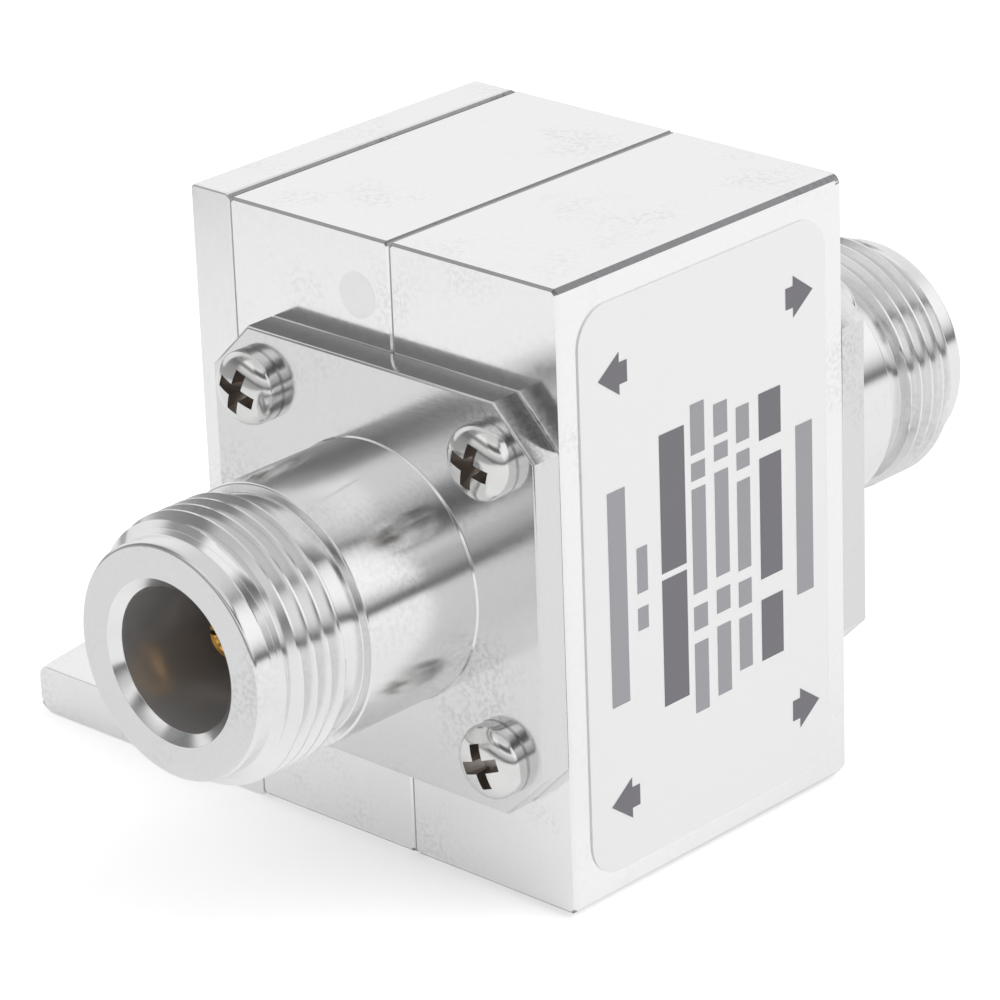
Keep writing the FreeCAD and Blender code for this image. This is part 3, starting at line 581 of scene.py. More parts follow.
@dataclass
class BrokenEdges:
    """Flat chamfers on a block's long edges, in place of the solid's rounds, and its end breaks.

    Args:
        flat: chamfer's run over the top or bottom, towards -X and towards +X.
        drop: chamfer's drop down the side, towards -X and towards +X.
        kept: length at the +Y end over which the rounds towards +X stay.
        blend: length over which they change into the chamfers.
        round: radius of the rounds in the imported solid.
        end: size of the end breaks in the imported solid.
        wide_end: size of the end breaks as they look.
    """

    flat: tuple = (0.26, 0.26)
    drop: tuple = (0.23, 0.23)
    kept: float = 0.0
    blend: float = 0.01
    round: float = 0.7
    end: float = 0.18
    wide_end: float = 0.16

    # How far a corner may lie from where it is looked for, in millimetres
    SNUG = 0.001
    LOOSE = 0.002
    # Least lean of the chamfers painted with shade to the side and up, and how far they may face +Y at most
    LEAN = 0.45
    PAST = 0.3
    # Least lean of the lower break painted with shade to the front and down
    LOWER_LEAN = 0.4

    def split(self, shape: bmesh.types.BMesh) -> None:
        """Adds rows of corners where the kept rounds end."""
        far = max(vertex.co.y for vertex in shape.verts)
        for reach in (self.kept, self.kept + self.blend) if self.kept else ():
            bmesh.ops.bisect_plane(shape, geom=shape.verts[:] + shape.edges[:] + shape.faces[:],
                                   plane_co=(0.0, far - reach * MM, 0.0), plane_no=(0.0, 1.0, 0.0))

    def shape(self, mesh: bpy.types.Mesh) -> None:
        """Moves the round's rows of corners on to the chamfers.

        Args:
            mesh: the block's mesh.
        """
        corners = [vertex.co.copy() for vertex in mesh.vertices]
        low = [min(corner[axis] for corner in corners) for axis in range(3)]
        high = [max(corner[axis] for corner in corners) for axis in range(3)]
        for vertex, corner in zip(mesh.vertices, corners):
            side = 1 if corner.x > (low[0] + high[0]) / 2 else 0
            roof = corner.z > (low[2] + high[2]) / 2
            inward = (high[0] - corner.x if side else corner.x - low[0]) / MM
            down = (high[2] - corner.z if roof else corner.z - low[2]) / MM
            behind = min(high[1] - corner.y, corner.y - low[1]) / MM
            if side and self.kept and corner.y > high[1] - (self.kept + self.SNUG) * MM:
                continue
            if max(inward, down) < self.round + self.SNUG:
                inward, down = self.on_chamfer(inward, down, side)
            elif behind < self.SNUG and abs(inward - self.end) < self.LOOSE:
                inward = self.wide_end
            elif behind < self.SNUG and abs(down - self.end) < self.LOOSE:
                down = self.wide_end
            if abs(behind - self.end) < self.LOOSE:
                front = corner.y < (low[1] + high[1]) / 2
                vertex.co.y = low[1] + self.wide_end * MM if front else high[1] - self.wide_end * MM
            vertex.co.x = high[0] - inward * MM if side else low[0] + inward * MM
            vertex.co.z = high[2] - down * MM if roof else low[2] + down * MM
        mesh.update()
        self.paint_edge_shade(mesh, low, high)

    def paint_edge_shade(self, mesh: bpy.types.Mesh, low: list, high: list) -> None:
        """Gives the top's long chamfers and the front's lower break the second material, which paints shade
        on them.

        Args:
            mesh: the block's mesh.
            low: lowest corner of the block in metres.
            high: highest corner of the block in metres.
        """
        for polygon in mesh.polygons:
            centre, facing = polygon.center, polygon.normal
            near = min(centre.x - low[0], high[0] - centre.x, centre.z - low[2], high[2] - centre.z)
            leaning = abs(facing.x) > self.LEAN and facing.z > self.LEAN
            long_edge = near < self.round * MM and leaning and facing.y < self.PAST
            downward = facing.y < -self.LOWER_LEAN and facing.z < -self.LOWER_LEAN
            lower_break = downward and centre.y < low[1] + self.wide_end * MM
            # Painted shade: these faces take the dark edge material in place of the dark reflections they
            # would show
            if long_edge or lower_break:
                polygon.material_index = 1

    def on_chamfer(self, inward: float, down: float, side: int) -> tuple:
        """Place on the chamfer of a point of the round.

        Args:
            inward: distance from the block's side in millimetres.
            down: distance from its top or bottom.
            side: 0 towards -X, 1 towards +X.

        Returns:
            The new inward and down distances.
        """
        run, drop = self.flat[side], self.drop[side]
        across, up = self.round - inward, self.round - down
        inset = max(0.0, self.round - math.hypot(across, up)) * self.wide_end / self.end
        turn = math.degrees(math.atan2(across, up)) / 90
        lean = math.atan2(drop, run)
        first = run + inset * math.tan(lean / 2)
        second = drop + inset * math.tan((math.pi / 2 - lean) / 2)
        start, end = Vector((first, inset)), Vector((inset, second))
        spot = start.lerp(end, min(1.0, max(0.0, turn)))
        return spot.x, spot.y


@dataclass
class CopyOfSolid:
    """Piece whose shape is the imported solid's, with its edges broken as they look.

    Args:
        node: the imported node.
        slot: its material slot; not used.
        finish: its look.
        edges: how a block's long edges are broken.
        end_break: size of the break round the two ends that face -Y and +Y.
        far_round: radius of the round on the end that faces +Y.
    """

    node: str
    slot: str
    finish: Finish
    edges: BrokenEdges | None = None
    end_break: float = 0.0
    far_round: float = 0.0

    # Faces that turn less than this lie in one plane, and edges that turn more are corners
    FLAT_TURN = math.radians(0.2)
    CORNER_TURN = math.radians(60)
    # Width of the strip along the +X side in which the round on the top is painted with shade, and the
    # least lean of its faces to the side and up
    STRIP = 0.4
    SIDEWAYS = 0.6
    UPWARD = 0.25
    # Corners closer than this, in metres, are one
    WELD = 1e-6
    # How far the rounding box stands off where it doesn't cut, and where it does
    FREE = 5.0
    SNUG = 0.004

    def break_ends(self, shape: bmesh.types.BMesh) -> None:
        """Chamfers the outlines of the two ends and paints shade on the round beside the block.

        Args:
            shape: the piece.
        """
        bmesh.ops.dissolve_limit(shape, angle_limit=self.FLAT_TURN, verts=shape.verts, edges=shape.edges)
        ends = (min(vertex.co.y for vertex in shape.verts), max(vertex.co.y for vertex in shape.verts))
        outline = [
            edge for edge in shape.edges
            if any(all(abs(vertex.co.y - end) < 1e-6 for vertex in edge.verts) for end in ends)
            and len(edge.link_faces) == 2 and edge.calc_face_angle() > self.CORNER_TURN
        ]
        bmesh.ops.bevel(shape, geom=outline, offset=self.end_break * MM, segments=2, profile=0.5,
                        affect="EDGES", offset_type="OFFSET")
        side = max(vertex.co.x for vertex in shape.verts)
        for face in shape.faces:
            face.normal_update()
            beside = face.calc_center_median().x > side - self.STRIP * MM
            # Painted shade: the round on the top beside the block takes the dark edge material
            if beside and face.normal.x > self.SIDEWAYS and face.normal.z > self.UPWARD:
                face.material_index = 1

    def envelope(self, mesh: bpy.types.Mesh) -> bpy.types.Object:
        """Box round the piece with its outline at the +Y end rounded.

        Args:
            mesh: the piece.

        Returns:
            The box, which cuts only the top and the +Y end.
        """
        free, snug = self.FREE * MM, self.SNUG * MM
        low = [min(vertex.co[axis] for vertex in mesh.vertices) - free for axis in range(3)]
        high = [max(vertex.co[axis] for vertex in mesh.vertices) + reach
                for axis, reach in enumerate((free, snug, snug))]
        shape = bmesh.new()
        bmesh.ops.create_cube(shape, size=1.0)
        for vertex in shape.verts:
            vertex.co = Vector([high[axis] if vertex.co[axis] > 0 else low[axis] for axis in range(3)])
        outline = [edge for edge in shape.edges if all(vertex.co.y > high[1] - 1e-6 for vertex in edge.verts)]
        bmesh.ops.bevel(shape, geom=outline, offset=self.far_round * MM, segments=6, profile=0.5,
                        affect="EDGES", offset_type="OFFSET")
        bmesh.ops.recalc_face_normals(shape, faces=shape.faces)
        name = f"{self.node}_envelope"
        return link_mesh(name, mesh_from(shape, name))

    def build(self, materials: Materials) -> bpy.types.Object:
        """Copies the solid's mesh, merges its corners, breaks its edges and dresses it.

        Args:
            materials: maker of the materials.

        Returns:
            The piece, in place of its node.
        """
        shape = bmesh.new()
        shape.from_mesh(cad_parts[self.node].data)
        bmesh.ops.remove_doubles(shape, verts=shape.verts, dist=self.WELD)
        if self.end_break:
            self.break_ends(shape)
        if self.edges:
            self.edges.split(shape)
        mesh = mesh_from(shape, f"{self.node}_looks")
        for layer in [layer for layer in mesh.attributes if layer.name == "custom_normal"]:
            mesh.attributes.remove(layer)
        if self.edges:
            self.edges.shape(mesh)
        made = link_mesh(f"{self.node}_looks", mesh)
        # The second slot is the dark edge material, which paints shade on the edges
        dress(made, materials, self.finish, Shade.PAINTED_EDGE_SHADE)
        if self.far_round:
            cut_with(made, self.envelope(made.data), "INTERSECT")
        finish_object(made)
        weighted = made.modifiers.new("corners", "WEIGHTED_NORMAL")
        weighted.keep_sharp = True
        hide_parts(self.node)
        return made


@dataclass
class JointLineAndPaintedShade:
    """Dark line in the groove between two plates, as a thin closed frame across X: partly the dark joint,
    partly painted shade in the groove.

    Args:
        name: name of the piece.
        place: x of the joint in metres.
        sunk: how far the line lies below the surface.
        width: width of the line.
        depth: how deep the frame goes.
    """

    name: str
    place: float
    sunk: float = 0.1
    width: float = 0.26
    depth: float = 0.4

    def loop(self, shape: bmesh.types.BMesh, side: int, inset: float) -> list:
        """Four corners of the frame on one of its sides.

        Args:
            shape: the frame.
            side: -1 or 1.
            inset: distance below the block's surface.

        Returns:
            The corners, in order round the joint.
        """
        across = self.place + side * self.width / 2 * MM
        front, back = COVER_LOW.y + inset * MM, COVER_HIGH.y - inset * MM
        under, over = COVER_LOW.z + inset * MM, COVER_HIGH.z - inset * MM
        spots = ((front, under), (back, under), (back, over), (front, over))
        return [shape.verts.new((across, along, up)) for along, up in spots]

    def build(self, materials: Materials) -> bpy.types.Object:
        """Frame of four mitred bars, with darker painted shade on its top and underneath.

        Args:
            materials: maker of the materials.

        Returns:
            The piece.
        """
        shape = bmesh.new()
        deep = self.sunk + self.depth
        loops = [self.loop(shape, side, inset)
                 for side, inset in ((-1, self.sunk), (-1, deep), (1, deep), (1, self.sunk))]
        for first, second in zip(loops, loops[1:] + loops[:1]):
            for index in range(4):
                following = (index + 1) % 4
                shape.faces.new((first[index], first[following], second[following], second[index]))
        bmesh.ops.recalc_face_normals(shape, faces=shape.faces)
        made = link_mesh(self.name, mesh_from(shape, self.name))
        dress(made, materials, Shade.JOINT_AND_PAINTED_SHADE, Shade.JOINT_DEEPER_PAINTED_SHADE)
        # Painted shade: faces on the top and underneath take the darker copy of the line
        for polygon in made.data.polygons:
            polygon.material_index = int(abs(polygon.normal.z) > 0.5)
        return finish_object(made)


@dataclass
class ThreadForm:
    """Helical thread ridge, wound about +Z.

    Args:
        pitch: height of one turn.
        root: radius at the foot of the ridge.
        crest: radius at its crest.
        crest_flat: width of the crest.
        flank: angle of each flank in degrees.
        start: height where the winding starts.
        end: height where it ends.
        relief_radius: radius of the relief that the ridge runs out to.
        relief_end: height where the relief ends.
        lead: radius of the lead band that the ridge runs out to.
        lead_height: height where the lead band starts.
        sunk: how far the ridge's foot lies below the root.
        covered: how far its ends dive below relief and lead.
        steps: corners to one turn.
    """

    pitch: float = 1.0583
    root: float = 7.29
    crest: float = 7.9375
    crest_flat: float = 0.14
    flank: float = 30.0
    start: float = 11.75
    end: float = 17.3
    relief_radius: float = 7.26
    relief_end: float = 12.06
    lead: float = 7.0
    lead_height: float = 17.25
    sunk: float = 0.05
    covered: float = 0.02
    steps: int = 128

    # Turn in degrees that points the section's crest outward
    SECTION_TURN = 90.0
    # Slope of the cone at the relief, and the least share of the lead's radius left to the ridge
    RELIEF_SLOPE = 3.0
    LEAST = 0.98

    def tree(self) -> bpy.types.GeometryNodeTree:
        """Nodes that sweep the ridge's section along a spiral and trim it to the cones at its ends.

        Returns:
            The tree.
        """
        sizes = ("Turns", "Radius", "Height", "Foot Width", "Crest Width", "Depth", "Back Radius",
                 "Back Height", "Front Radius", "Front Height")
        tree = node_tree("thread_ridge", {**dict.fromkeys(sizes, "Float"), "Steps": "Int",
                                          "Material": "Material"})
        graph = Graph(tree)
        given = graph.add("NodeGroupInput").outputs
        spiral = graph.add("GeometryNodeCurveSpiral", {
            "Resolution": given["Steps"], "Rotations": given["Turns"], "Start Radius": given["Radius"],
            "End Radius": given["Radius"], "Height": given["Height"],
        })
        upright = graph.add("GeometryNodeSetCurveNormal", {"Curve": spiral.outputs["Curve"]}, mode="Z_UP")
        section = graph.add("GeometryNodeCurvePrimitiveQuadrilateral", {
            "Bottom Width": given["Foot Width"], "Top Width": given["Crest Width"],
            "Height": given["Depth"], "Offset": 0.0,
        }, mode="TRAPEZOID")
        turned = graph.add("GeometryNodeTransform", {
            "Geometry": section.outputs["Curve"], "Rotation": (0.0, 0.0, math.radians(self.SECTION_TURN)),
        })
        finer = graph.add("GeometryNodeSubdivideCurve", {"Curve": turned.outputs["Geometry"], "Cuts": 3})
        swept = graph.add("GeometryNodeCurveToMesh", {
            "Curve": upright.outputs["Curve"], "Profile Curve": finer.outputs["Curve"], "Fill Caps": True,
        })
        spot = graph.add("GeometryNodeInputPosition").outputs[0]
        across, along, up = graph.add("ShaderNodeSeparateXYZ", {"Vector": spot}).outputs
        radius = graph.length(across, along)
        back = graph.math("MULTIPLY_ADD", graph.math("SUBTRACT", up, given["Back Height"]),
                          self.RELIEF_SLOPE, given["Back Radius"])
        front = graph.math("ADD", graph.math("SUBTRACT", given["Front Height"], up), given["Front Radius"])
        least = graph.math("MAXIMUM", graph.math("MINIMUM", back, front),
                           graph.math("MULTIPLY", given["Front Radius"], self.LEAST))
        factor = graph.math("DIVIDE", graph.math("MINIMUM", radius, least), radius)
        place = graph.add("ShaderNodeCombineXYZ", {
            "X": graph.math("MULTIPLY", across, factor), "Y": graph.math("MULTIPLY", along, factor), "Z": up,
        })
        trimmed = graph.add("GeometryNodeSetPosition", {
            "Geometry": swept.outputs["Mesh"], "Position": place.outputs["Vector"],
        })
        real = graph.add("GeometryNodeRealizeInstances", {"Geometry": trimmed.outputs["Geometry"]})
        dressed = graph.add("GeometryNodeSetMaterial", {
            "Geometry": real.outputs["Geometry"], "Material": given["Material"],
        })
        graph.add("NodeGroupOutput", {"Geometry": dressed.outputs["Geometry"]})
        return tree

    def build(self, material: bpy.types.Material) -> bpy.types.Mesh:
        """Plain mesh of the ridge.

        Args:
            material: material of the ridge.

        Returns:
            The mesh, with its feet sunk a little below the root.
        """
        depth = self.crest - self.root + self.sunk
        foot = self.crest_flat + 2 * depth * math.tan(math.radians(self.flank))
        sizes = {
            "Radius": self.crest - depth / 2, "Height": self.end - self.start,
            "Foot Width": foot, "Crest Width": self.crest_flat, "Depth": depth,
            "Back Radius": self.relief_radius - self.covered, "Back Height": self.relief_end - self.start,
            "Front Radius": self.lead - self.covered, "Front Height": self.lead_height - self.start,
        }
        values = {name: size * MM for name, size in sizes.items()}
        values["Turns"] = (self.end - self.start) / self.pitch
        values["Steps"] = self.steps
        values["Material"] = material
        mesh = evaluate_tree(self.tree(), values, bpy.data.meshes.new("seed"))
        mesh.transform(Matrix.Translation((0, 0, self.start * MM)))
        return mesh


@dataclass
class PanScrews:
    """Four pan-head cross-recess screws of one flange, in the flange's own frame.

    Args:
        name: name of the piece.
        node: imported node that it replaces.
        twists: turn of each screw in degrees.
        spacing: distance between neighbours.
        seat: height of the flange's face.
        head: radius of the head.
        height: height of the head.
        crown: how much of that is crowned.
        fullness: how flat the crown is in its middle.
        dome_steps: rows of corners on the crown.
        rim: break at the underside of the head.
        shank: radius of the shank.
        length: length of the shank.
        point: length of the shank's tapered end.
        tip: radius of that end's tip, as a share of the shank's.
        arm: reach of the recess's arms.
        width: width of its slots.
        depth: depth of the recess.
        overshoot: how far its cutter stands above the head.
        steps: corners round the screw.
    """

    name: str
    node: str
    twists: tuple
    spacing: float = 18.26
    seat: float = 2.1
    head: float = 2.25
    height: float = 1.72
    crown: float = 1.05
    fullness: float = 2.6
    dome_steps: int = 18
    rim: float = 0.12
    shank: float = 1.25
    length: float = 7.0
    point: float = 0.4
    tip: float = 0.7
    arm: float = 1.42
    width: float = 0.78
    depth: float = 1.05
    overshoot: float = 0.3
    steps: int = 96

    def prototype(self, materials: Materials) -> bpy.types.Object:
        """One screw along +Z with the underside of its head at the origin.

        Args:
            materials: maker of the materials.

        Returns:
            The screw, with its recess cut.
        """
        outline = [
            (0.0, -self.length), (self.shank * self.tip, -self.length),
            (self.shank, -self.length + self.point), (self.shank, 0.0),
            (self.head - self.rim, 0.0), (self.head, self.rim),
        ]
        for step in range(self.dome_steps + 1):
            part = math.cos(math.radians(90 * step / self.dome_steps))
            fall = 1 - math.sqrt(max(0.0, 1 - part ** self.fullness))
            outline.append((self.head * part, self.height - self.crown * fall))
        made = link_mesh(f"{self.name}_model", lathe(outline, self.steps))
        dress(made, materials, Shade.SCREW, Shade.RECESS)
        cut_with(made, self.cutter(materials), "DIFFERENCE")
        return made

    def cutter(self, materials: Materials) -> bpy.types.Object:
        """Tapered cross that cuts the recess.

        Args:
            materials: maker of the materials.

        Returns:
            The cross.
        """
        # Height, share of the arm and share of the slot at the recess's mouth, waist and floor
        sections = (
            (self.height + self.overshoot, 1.06, 1.04),
            (self.height - self.depth * 0.55, 0.86, 0.9),
            (self.height - self.depth, 0.42, 0.72),
        )
        shape = bmesh.new()
        rings = []
        for level, scale, slim in sections:
            reach, half = self.arm * scale, self.width / 2 * slim
            corners = []
            for quarter in range(4):
                turn = math.radians(90 * quarter)
                for across, up in ((reach, -half), (reach, half), (half, half)):
                    spot = Matrix.Rotation(turn, 2) @ Vector((across, up))
                    corners.append(shape.verts.new((spot.x * MM, spot.y * MM, level * MM)))
            rings.append(corners)
        for first, second in zip(rings, rings[1:]):
            for index in range(len(first)):
                following = (index + 1) % len(first)
                shape.faces.new((first[index], first[following], second[following], second[index]))
        shape.faces.new(rings[0])
        shape.faces.new(rings[-1])
        bmesh.ops.recalc_face_normals(shape, faces=shape.faces)
        bmesh.ops.triangulate(shape, faces=shape.faces)
        for face in shape.faces:
            face.material_index = 1
        made = link_mesh(f"{self.name}_cutter", mesh_from(shape, "cutter"))
        dress(made, materials, Shade.SCREW, Shade.RECESS)
        return made

    def tree(self) -> bpy.types.GeometryNodeTree:
        """Nodes that set one screw on each point and turn it by the point's twist.

        Returns:
            The tree.
        """
        tree = node_tree("screws_on_points", {"Screw": "Object", "Material": "Material",
                                              "Recess Material": "Material"})
        graph = Graph(tree)
        given = graph.add("NodeGroupInput").outputs
        model = graph.add("GeometryNodeObjectInfo", {"Object": given["Screw"]})
        twist = graph.add("GeometryNodeInputNamedAttribute", {"Name": "twist"}, data_type="FLOAT")
        angles = graph.add("ShaderNodeCombineXYZ", {"Z": twist.outputs["Attribute"]})
        placed = graph.add("GeometryNodeInstanceOnPoints", {
            "Points": given["Geometry"], "Instance": model.outputs["Geometry"],
            "Rotation": angles.outputs["Vector"],
        })
        real = graph.add("GeometryNodeRealizeInstances", {"Geometry": placed.outputs["Instances"]})
        dressed = real.outputs["Geometry"]
        index = graph.add("GeometryNodeInputMaterialIndex").outputs[0]
        for number, label in enumerate(("Material", "Recess Material")):
            chosen = graph.add("FunctionNodeCompare", {"A": index, "B": number}, data_type="INT",
                               operation="EQUAL")
            dressed = graph.add("GeometryNodeSetMaterial", {
                "Geometry": dressed, "Selection": chosen.outputs[0], "Material": given[label],
            }).outputs["Geometry"]
        graph.add("NodeGroupOutput", {"Geometry": dressed})
        return tree

    def build(self, materials: Materials, place: Matrix) -> bpy.types.Object:
        """Four screws in the row's frame.

        Args:
            materials: maker of the materials.
            place: where the flange's own frame lies.

        Returns:
            The piece, in place of its node.
        """
        model = self.prototype(materials)
        half = self.spacing / 2 * MM
        spots = [(x * half, y * half, self.seat * MM) for x, y in ((-1, 1), (1, 1), (1, -1), (-1, -1))]
        points = bpy.data.meshes.new("points")
        points.from_pydata(spots, [], [])
        twist = points.attributes.new("twist", "FLOAT", "POINT")
        for index, angle in enumerate(self.twists):
            twist.data[index].value = math.radians(angle)
        values = {"Screw": model, "Material": materials.get(Shade.SCREW),
                  "Recess Material": materials.get(Shade.RECESS)}
        mesh = evaluate_tree(self.tree(), values, points)
        bpy.data.objects.remove(model)
        mesh.transform(place)
        made = link_mesh(self.name, mesh)
        finish_object(made, 35.0)
        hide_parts(self.node)
        return made


@dataclass
class Jack:
    """One threaded jack: flange, barrel, relief, thread, lead band and bore, along its own +Z.

    Args:
        end: equipment or antenna.
        turn: 0 degrees where the jack faces -Y, 180 where it faces +Y.
        twists: turn of each flange screw in degrees.
        flange_side: width of the square flange.
        flange_thickness: its thickness.
        flange_bore: radius of its hole round the turned body.
        chamfer: how far its corners are cut.
        edge_break: round on its edges.
        screw_spacing: distance between neighbouring screws.
        screw_hole: radius of the screw holes.
        neck: radius of the turned body inside the flange.
        neck_end: how far below the flange's face the neck starts to widen.
        foot_fillet: round where the barrel leaves the flange.
        foot_sunk: how far that round starts below the flange's face.
        barrel: radius of the barrel.
        barrel_end: height where the barrel ends.
        reach: height of the front face.
        bore: radius of the bore.
        bore_depth: its depth.
        mouth: radius of the countersink at the bore's mouth.
        mouth_depth: its depth.
        core: radius of the hole behind the bore.
        seat: radius of the bead's seat at the rear.
        seat_depth: its depth.
        thread: the thread's form.
        steps: corners round the jack.
    """

    end: str
    turn: float
    twists: tuple
    flange_side: float = 25.2
    flange_thickness: float = 2.1
    flange_bore: float = 7.6
    chamfer: float = 3.0
    edge_break: float = 0.15
    screw_spacing: float = 18.26
    screw_hole: float = 1.45
    neck: float = 7.0
    neck_end: float = 0.6
    foot_fillet: float = 0.12
    foot_sunk: float = 0.05
    barrel: float = 7.9
    barrel_end: float = 10.6
    reach: float = 18.5
    bore: float = 4.3
    bore_depth: float = 9.1
    mouth: float = 4.93
    mouth_depth: float = 0.55
    core: float = 3.5
    seat: float = 4.2
    seat_depth: float = 1.6
    thread: ThreadForm = field(default_factory=ThreadForm)
    steps: int = 256

    def place(self) -> Matrix:
        """Where the jack's own frame lies: its +Z leaves the block."""
        side = Matrix.Translation((0, FRONT_Y, 0)) @ Matrix.Rotation(math.radians(90), 4, "X")
        return Matrix.Translation(AXIS) @ Matrix.Rotation(math.radians(self.turn), 4, "Z") @ side

    def turned_outline(self) -> list:
        """Section of everything that is turned, from the rear bore round to the front bore.

        Returns:
            Outline as (radius, height).
        """
        form = self.thread
        top = self.flange_thickness
        deep = self.reach - self.bore_depth
        cone = form.root - form.lead
        return rounded([
            (self.seat, 0.0, 0.05), (self.neck, 0.0, 0.0), (self.neck, top - self.neck_end, 0.0),
            (self.barrel + self.foot_fillet, top - self.foot_sunk, 0.0),
            (self.barrel, top + self.foot_fillet, 0.06),
            (self.barrel, self.barrel_end, 0.14), (form.relief_radius, self.barrel_end, 0.12),
            (form.relief_radius, form.relief_end, 0.05), (form.root, form.relief_end + 0.03, 0.02),
            (form.root, form.lead_height - cone, 0.02), (form.lead, form.lead_height, 0.12),
            (form.lead, self.reach, 0.3), (self.mouth, self.reach, 0.05),
            (self.bore, self.reach - self.mouth_depth, 0.06), (self.bore, deep, 0.05),
            (self.core, deep, 0.05), (self.core, self.seat_depth, 0.0), (self.seat, self.seat_depth, 0.0),
        ], 0.05, 5)

    def flange(self) -> bpy.types.Mesh:
        """Square plate with cut corners, four screw holes and rounded edges.

        Returns:
            The mesh.
        """
        curve = bpy.data.curves.new(f"{self.end}_flange", "CURVE")
        curve.dimensions = "2D"
        curve.fill_mode = "BOTH"
        half, inset = self.flange_side / 2, self.flange_side / 2 - self.chamfer
        self.add_loop(curve, [(-inset, -half), (inset, -half), (half, -inset), (half, inset),
                              (inset, half), (-inset, half), (-half, inset), (-half, -inset)])
        self.add_loop(curve, circle(0.0, 0.0, self.flange_bore))
        offset = self.screw_spacing / 2
        for across, up in ((-1, -1), (1, -1), (1, 1), (-1, 1)):
            self.add_loop(curve, circle(across * offset, up * offset, self.screw_hole))
        curve.extrude = (self.flange_thickness / 2 - self.edge_break) * MM
        curve.bevel_depth = self.edge_break * MM
        curve.offset = -self.edge_break * MM
        curve.bevel_resolution = 3
        holder = link_mesh("flange_holder", curve)
        mesh = evaluated_mesh(holder)
        bpy.data.objects.remove(holder)
        mesh.transform(Matrix.Translation((0, 0, self.flange_thickness / 2 * MM)))
        return mesh

    def add_loop(self, curve: bpy.types.Curve, corners: list) -> None:
        """Closed straight-sided loop on a flat curve.

        Args:
            curve: the curve.
            corners: corners of the loop.
        """
        spline = curve.splines.new("POLY")
        spline.points.add(len(corners) - 1)
        for point, (across, up) in zip(spline.points, corners):
            point.co = (across * MM, up * MM, 0.0, 1.0)
        spline.use_cyclic_u = True

    def build(self, materials: Materials) -> bpy.types.Object:
        """Jack body with its flange, and its screws.

        Args:
            materials: maker of the materials.

        Returns:
            The body, in place of its node.
        """
        body = lathe(self.turned_outline(), self.steps)
        for polygon in body.polygons:
            centre = polygon.center
            inside = math.hypot(centre.x, centre.y) < (self.bore + 0.05) * MM
            if inside and centre.z > (self.reach - self.bore_depth - 0.1) * MM:
                polygon.material_index = 2
            elif polygon.normal.z > 0.9 and centre.z > (self.reach - 0.1) * MM:
                polygon.material_index = 1
        ridge = self.thread.build(materials.get(Shade.TURNED))
        plate = self.flange()
        for polygon in plate.polygons:
            polygon.material_index = 1
        mesh = merge_meshes(f"{self.end}_jack", [body, ridge, plate])
        mesh.transform(self.place())
        made = link_mesh(f"{self.end}_jack", mesh)
        dress(made, materials, Shade.TURNED, Shade.FLANGE, Shade.BORE)
        finish_object(made, 30.0)
        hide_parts(f"{self.end}_jack_body")
        screws = PanScrews(f"{self.end}_screws", f"{self.end}_flange_screws", self.twists)
        screws.build(materials, self.place())
        return made


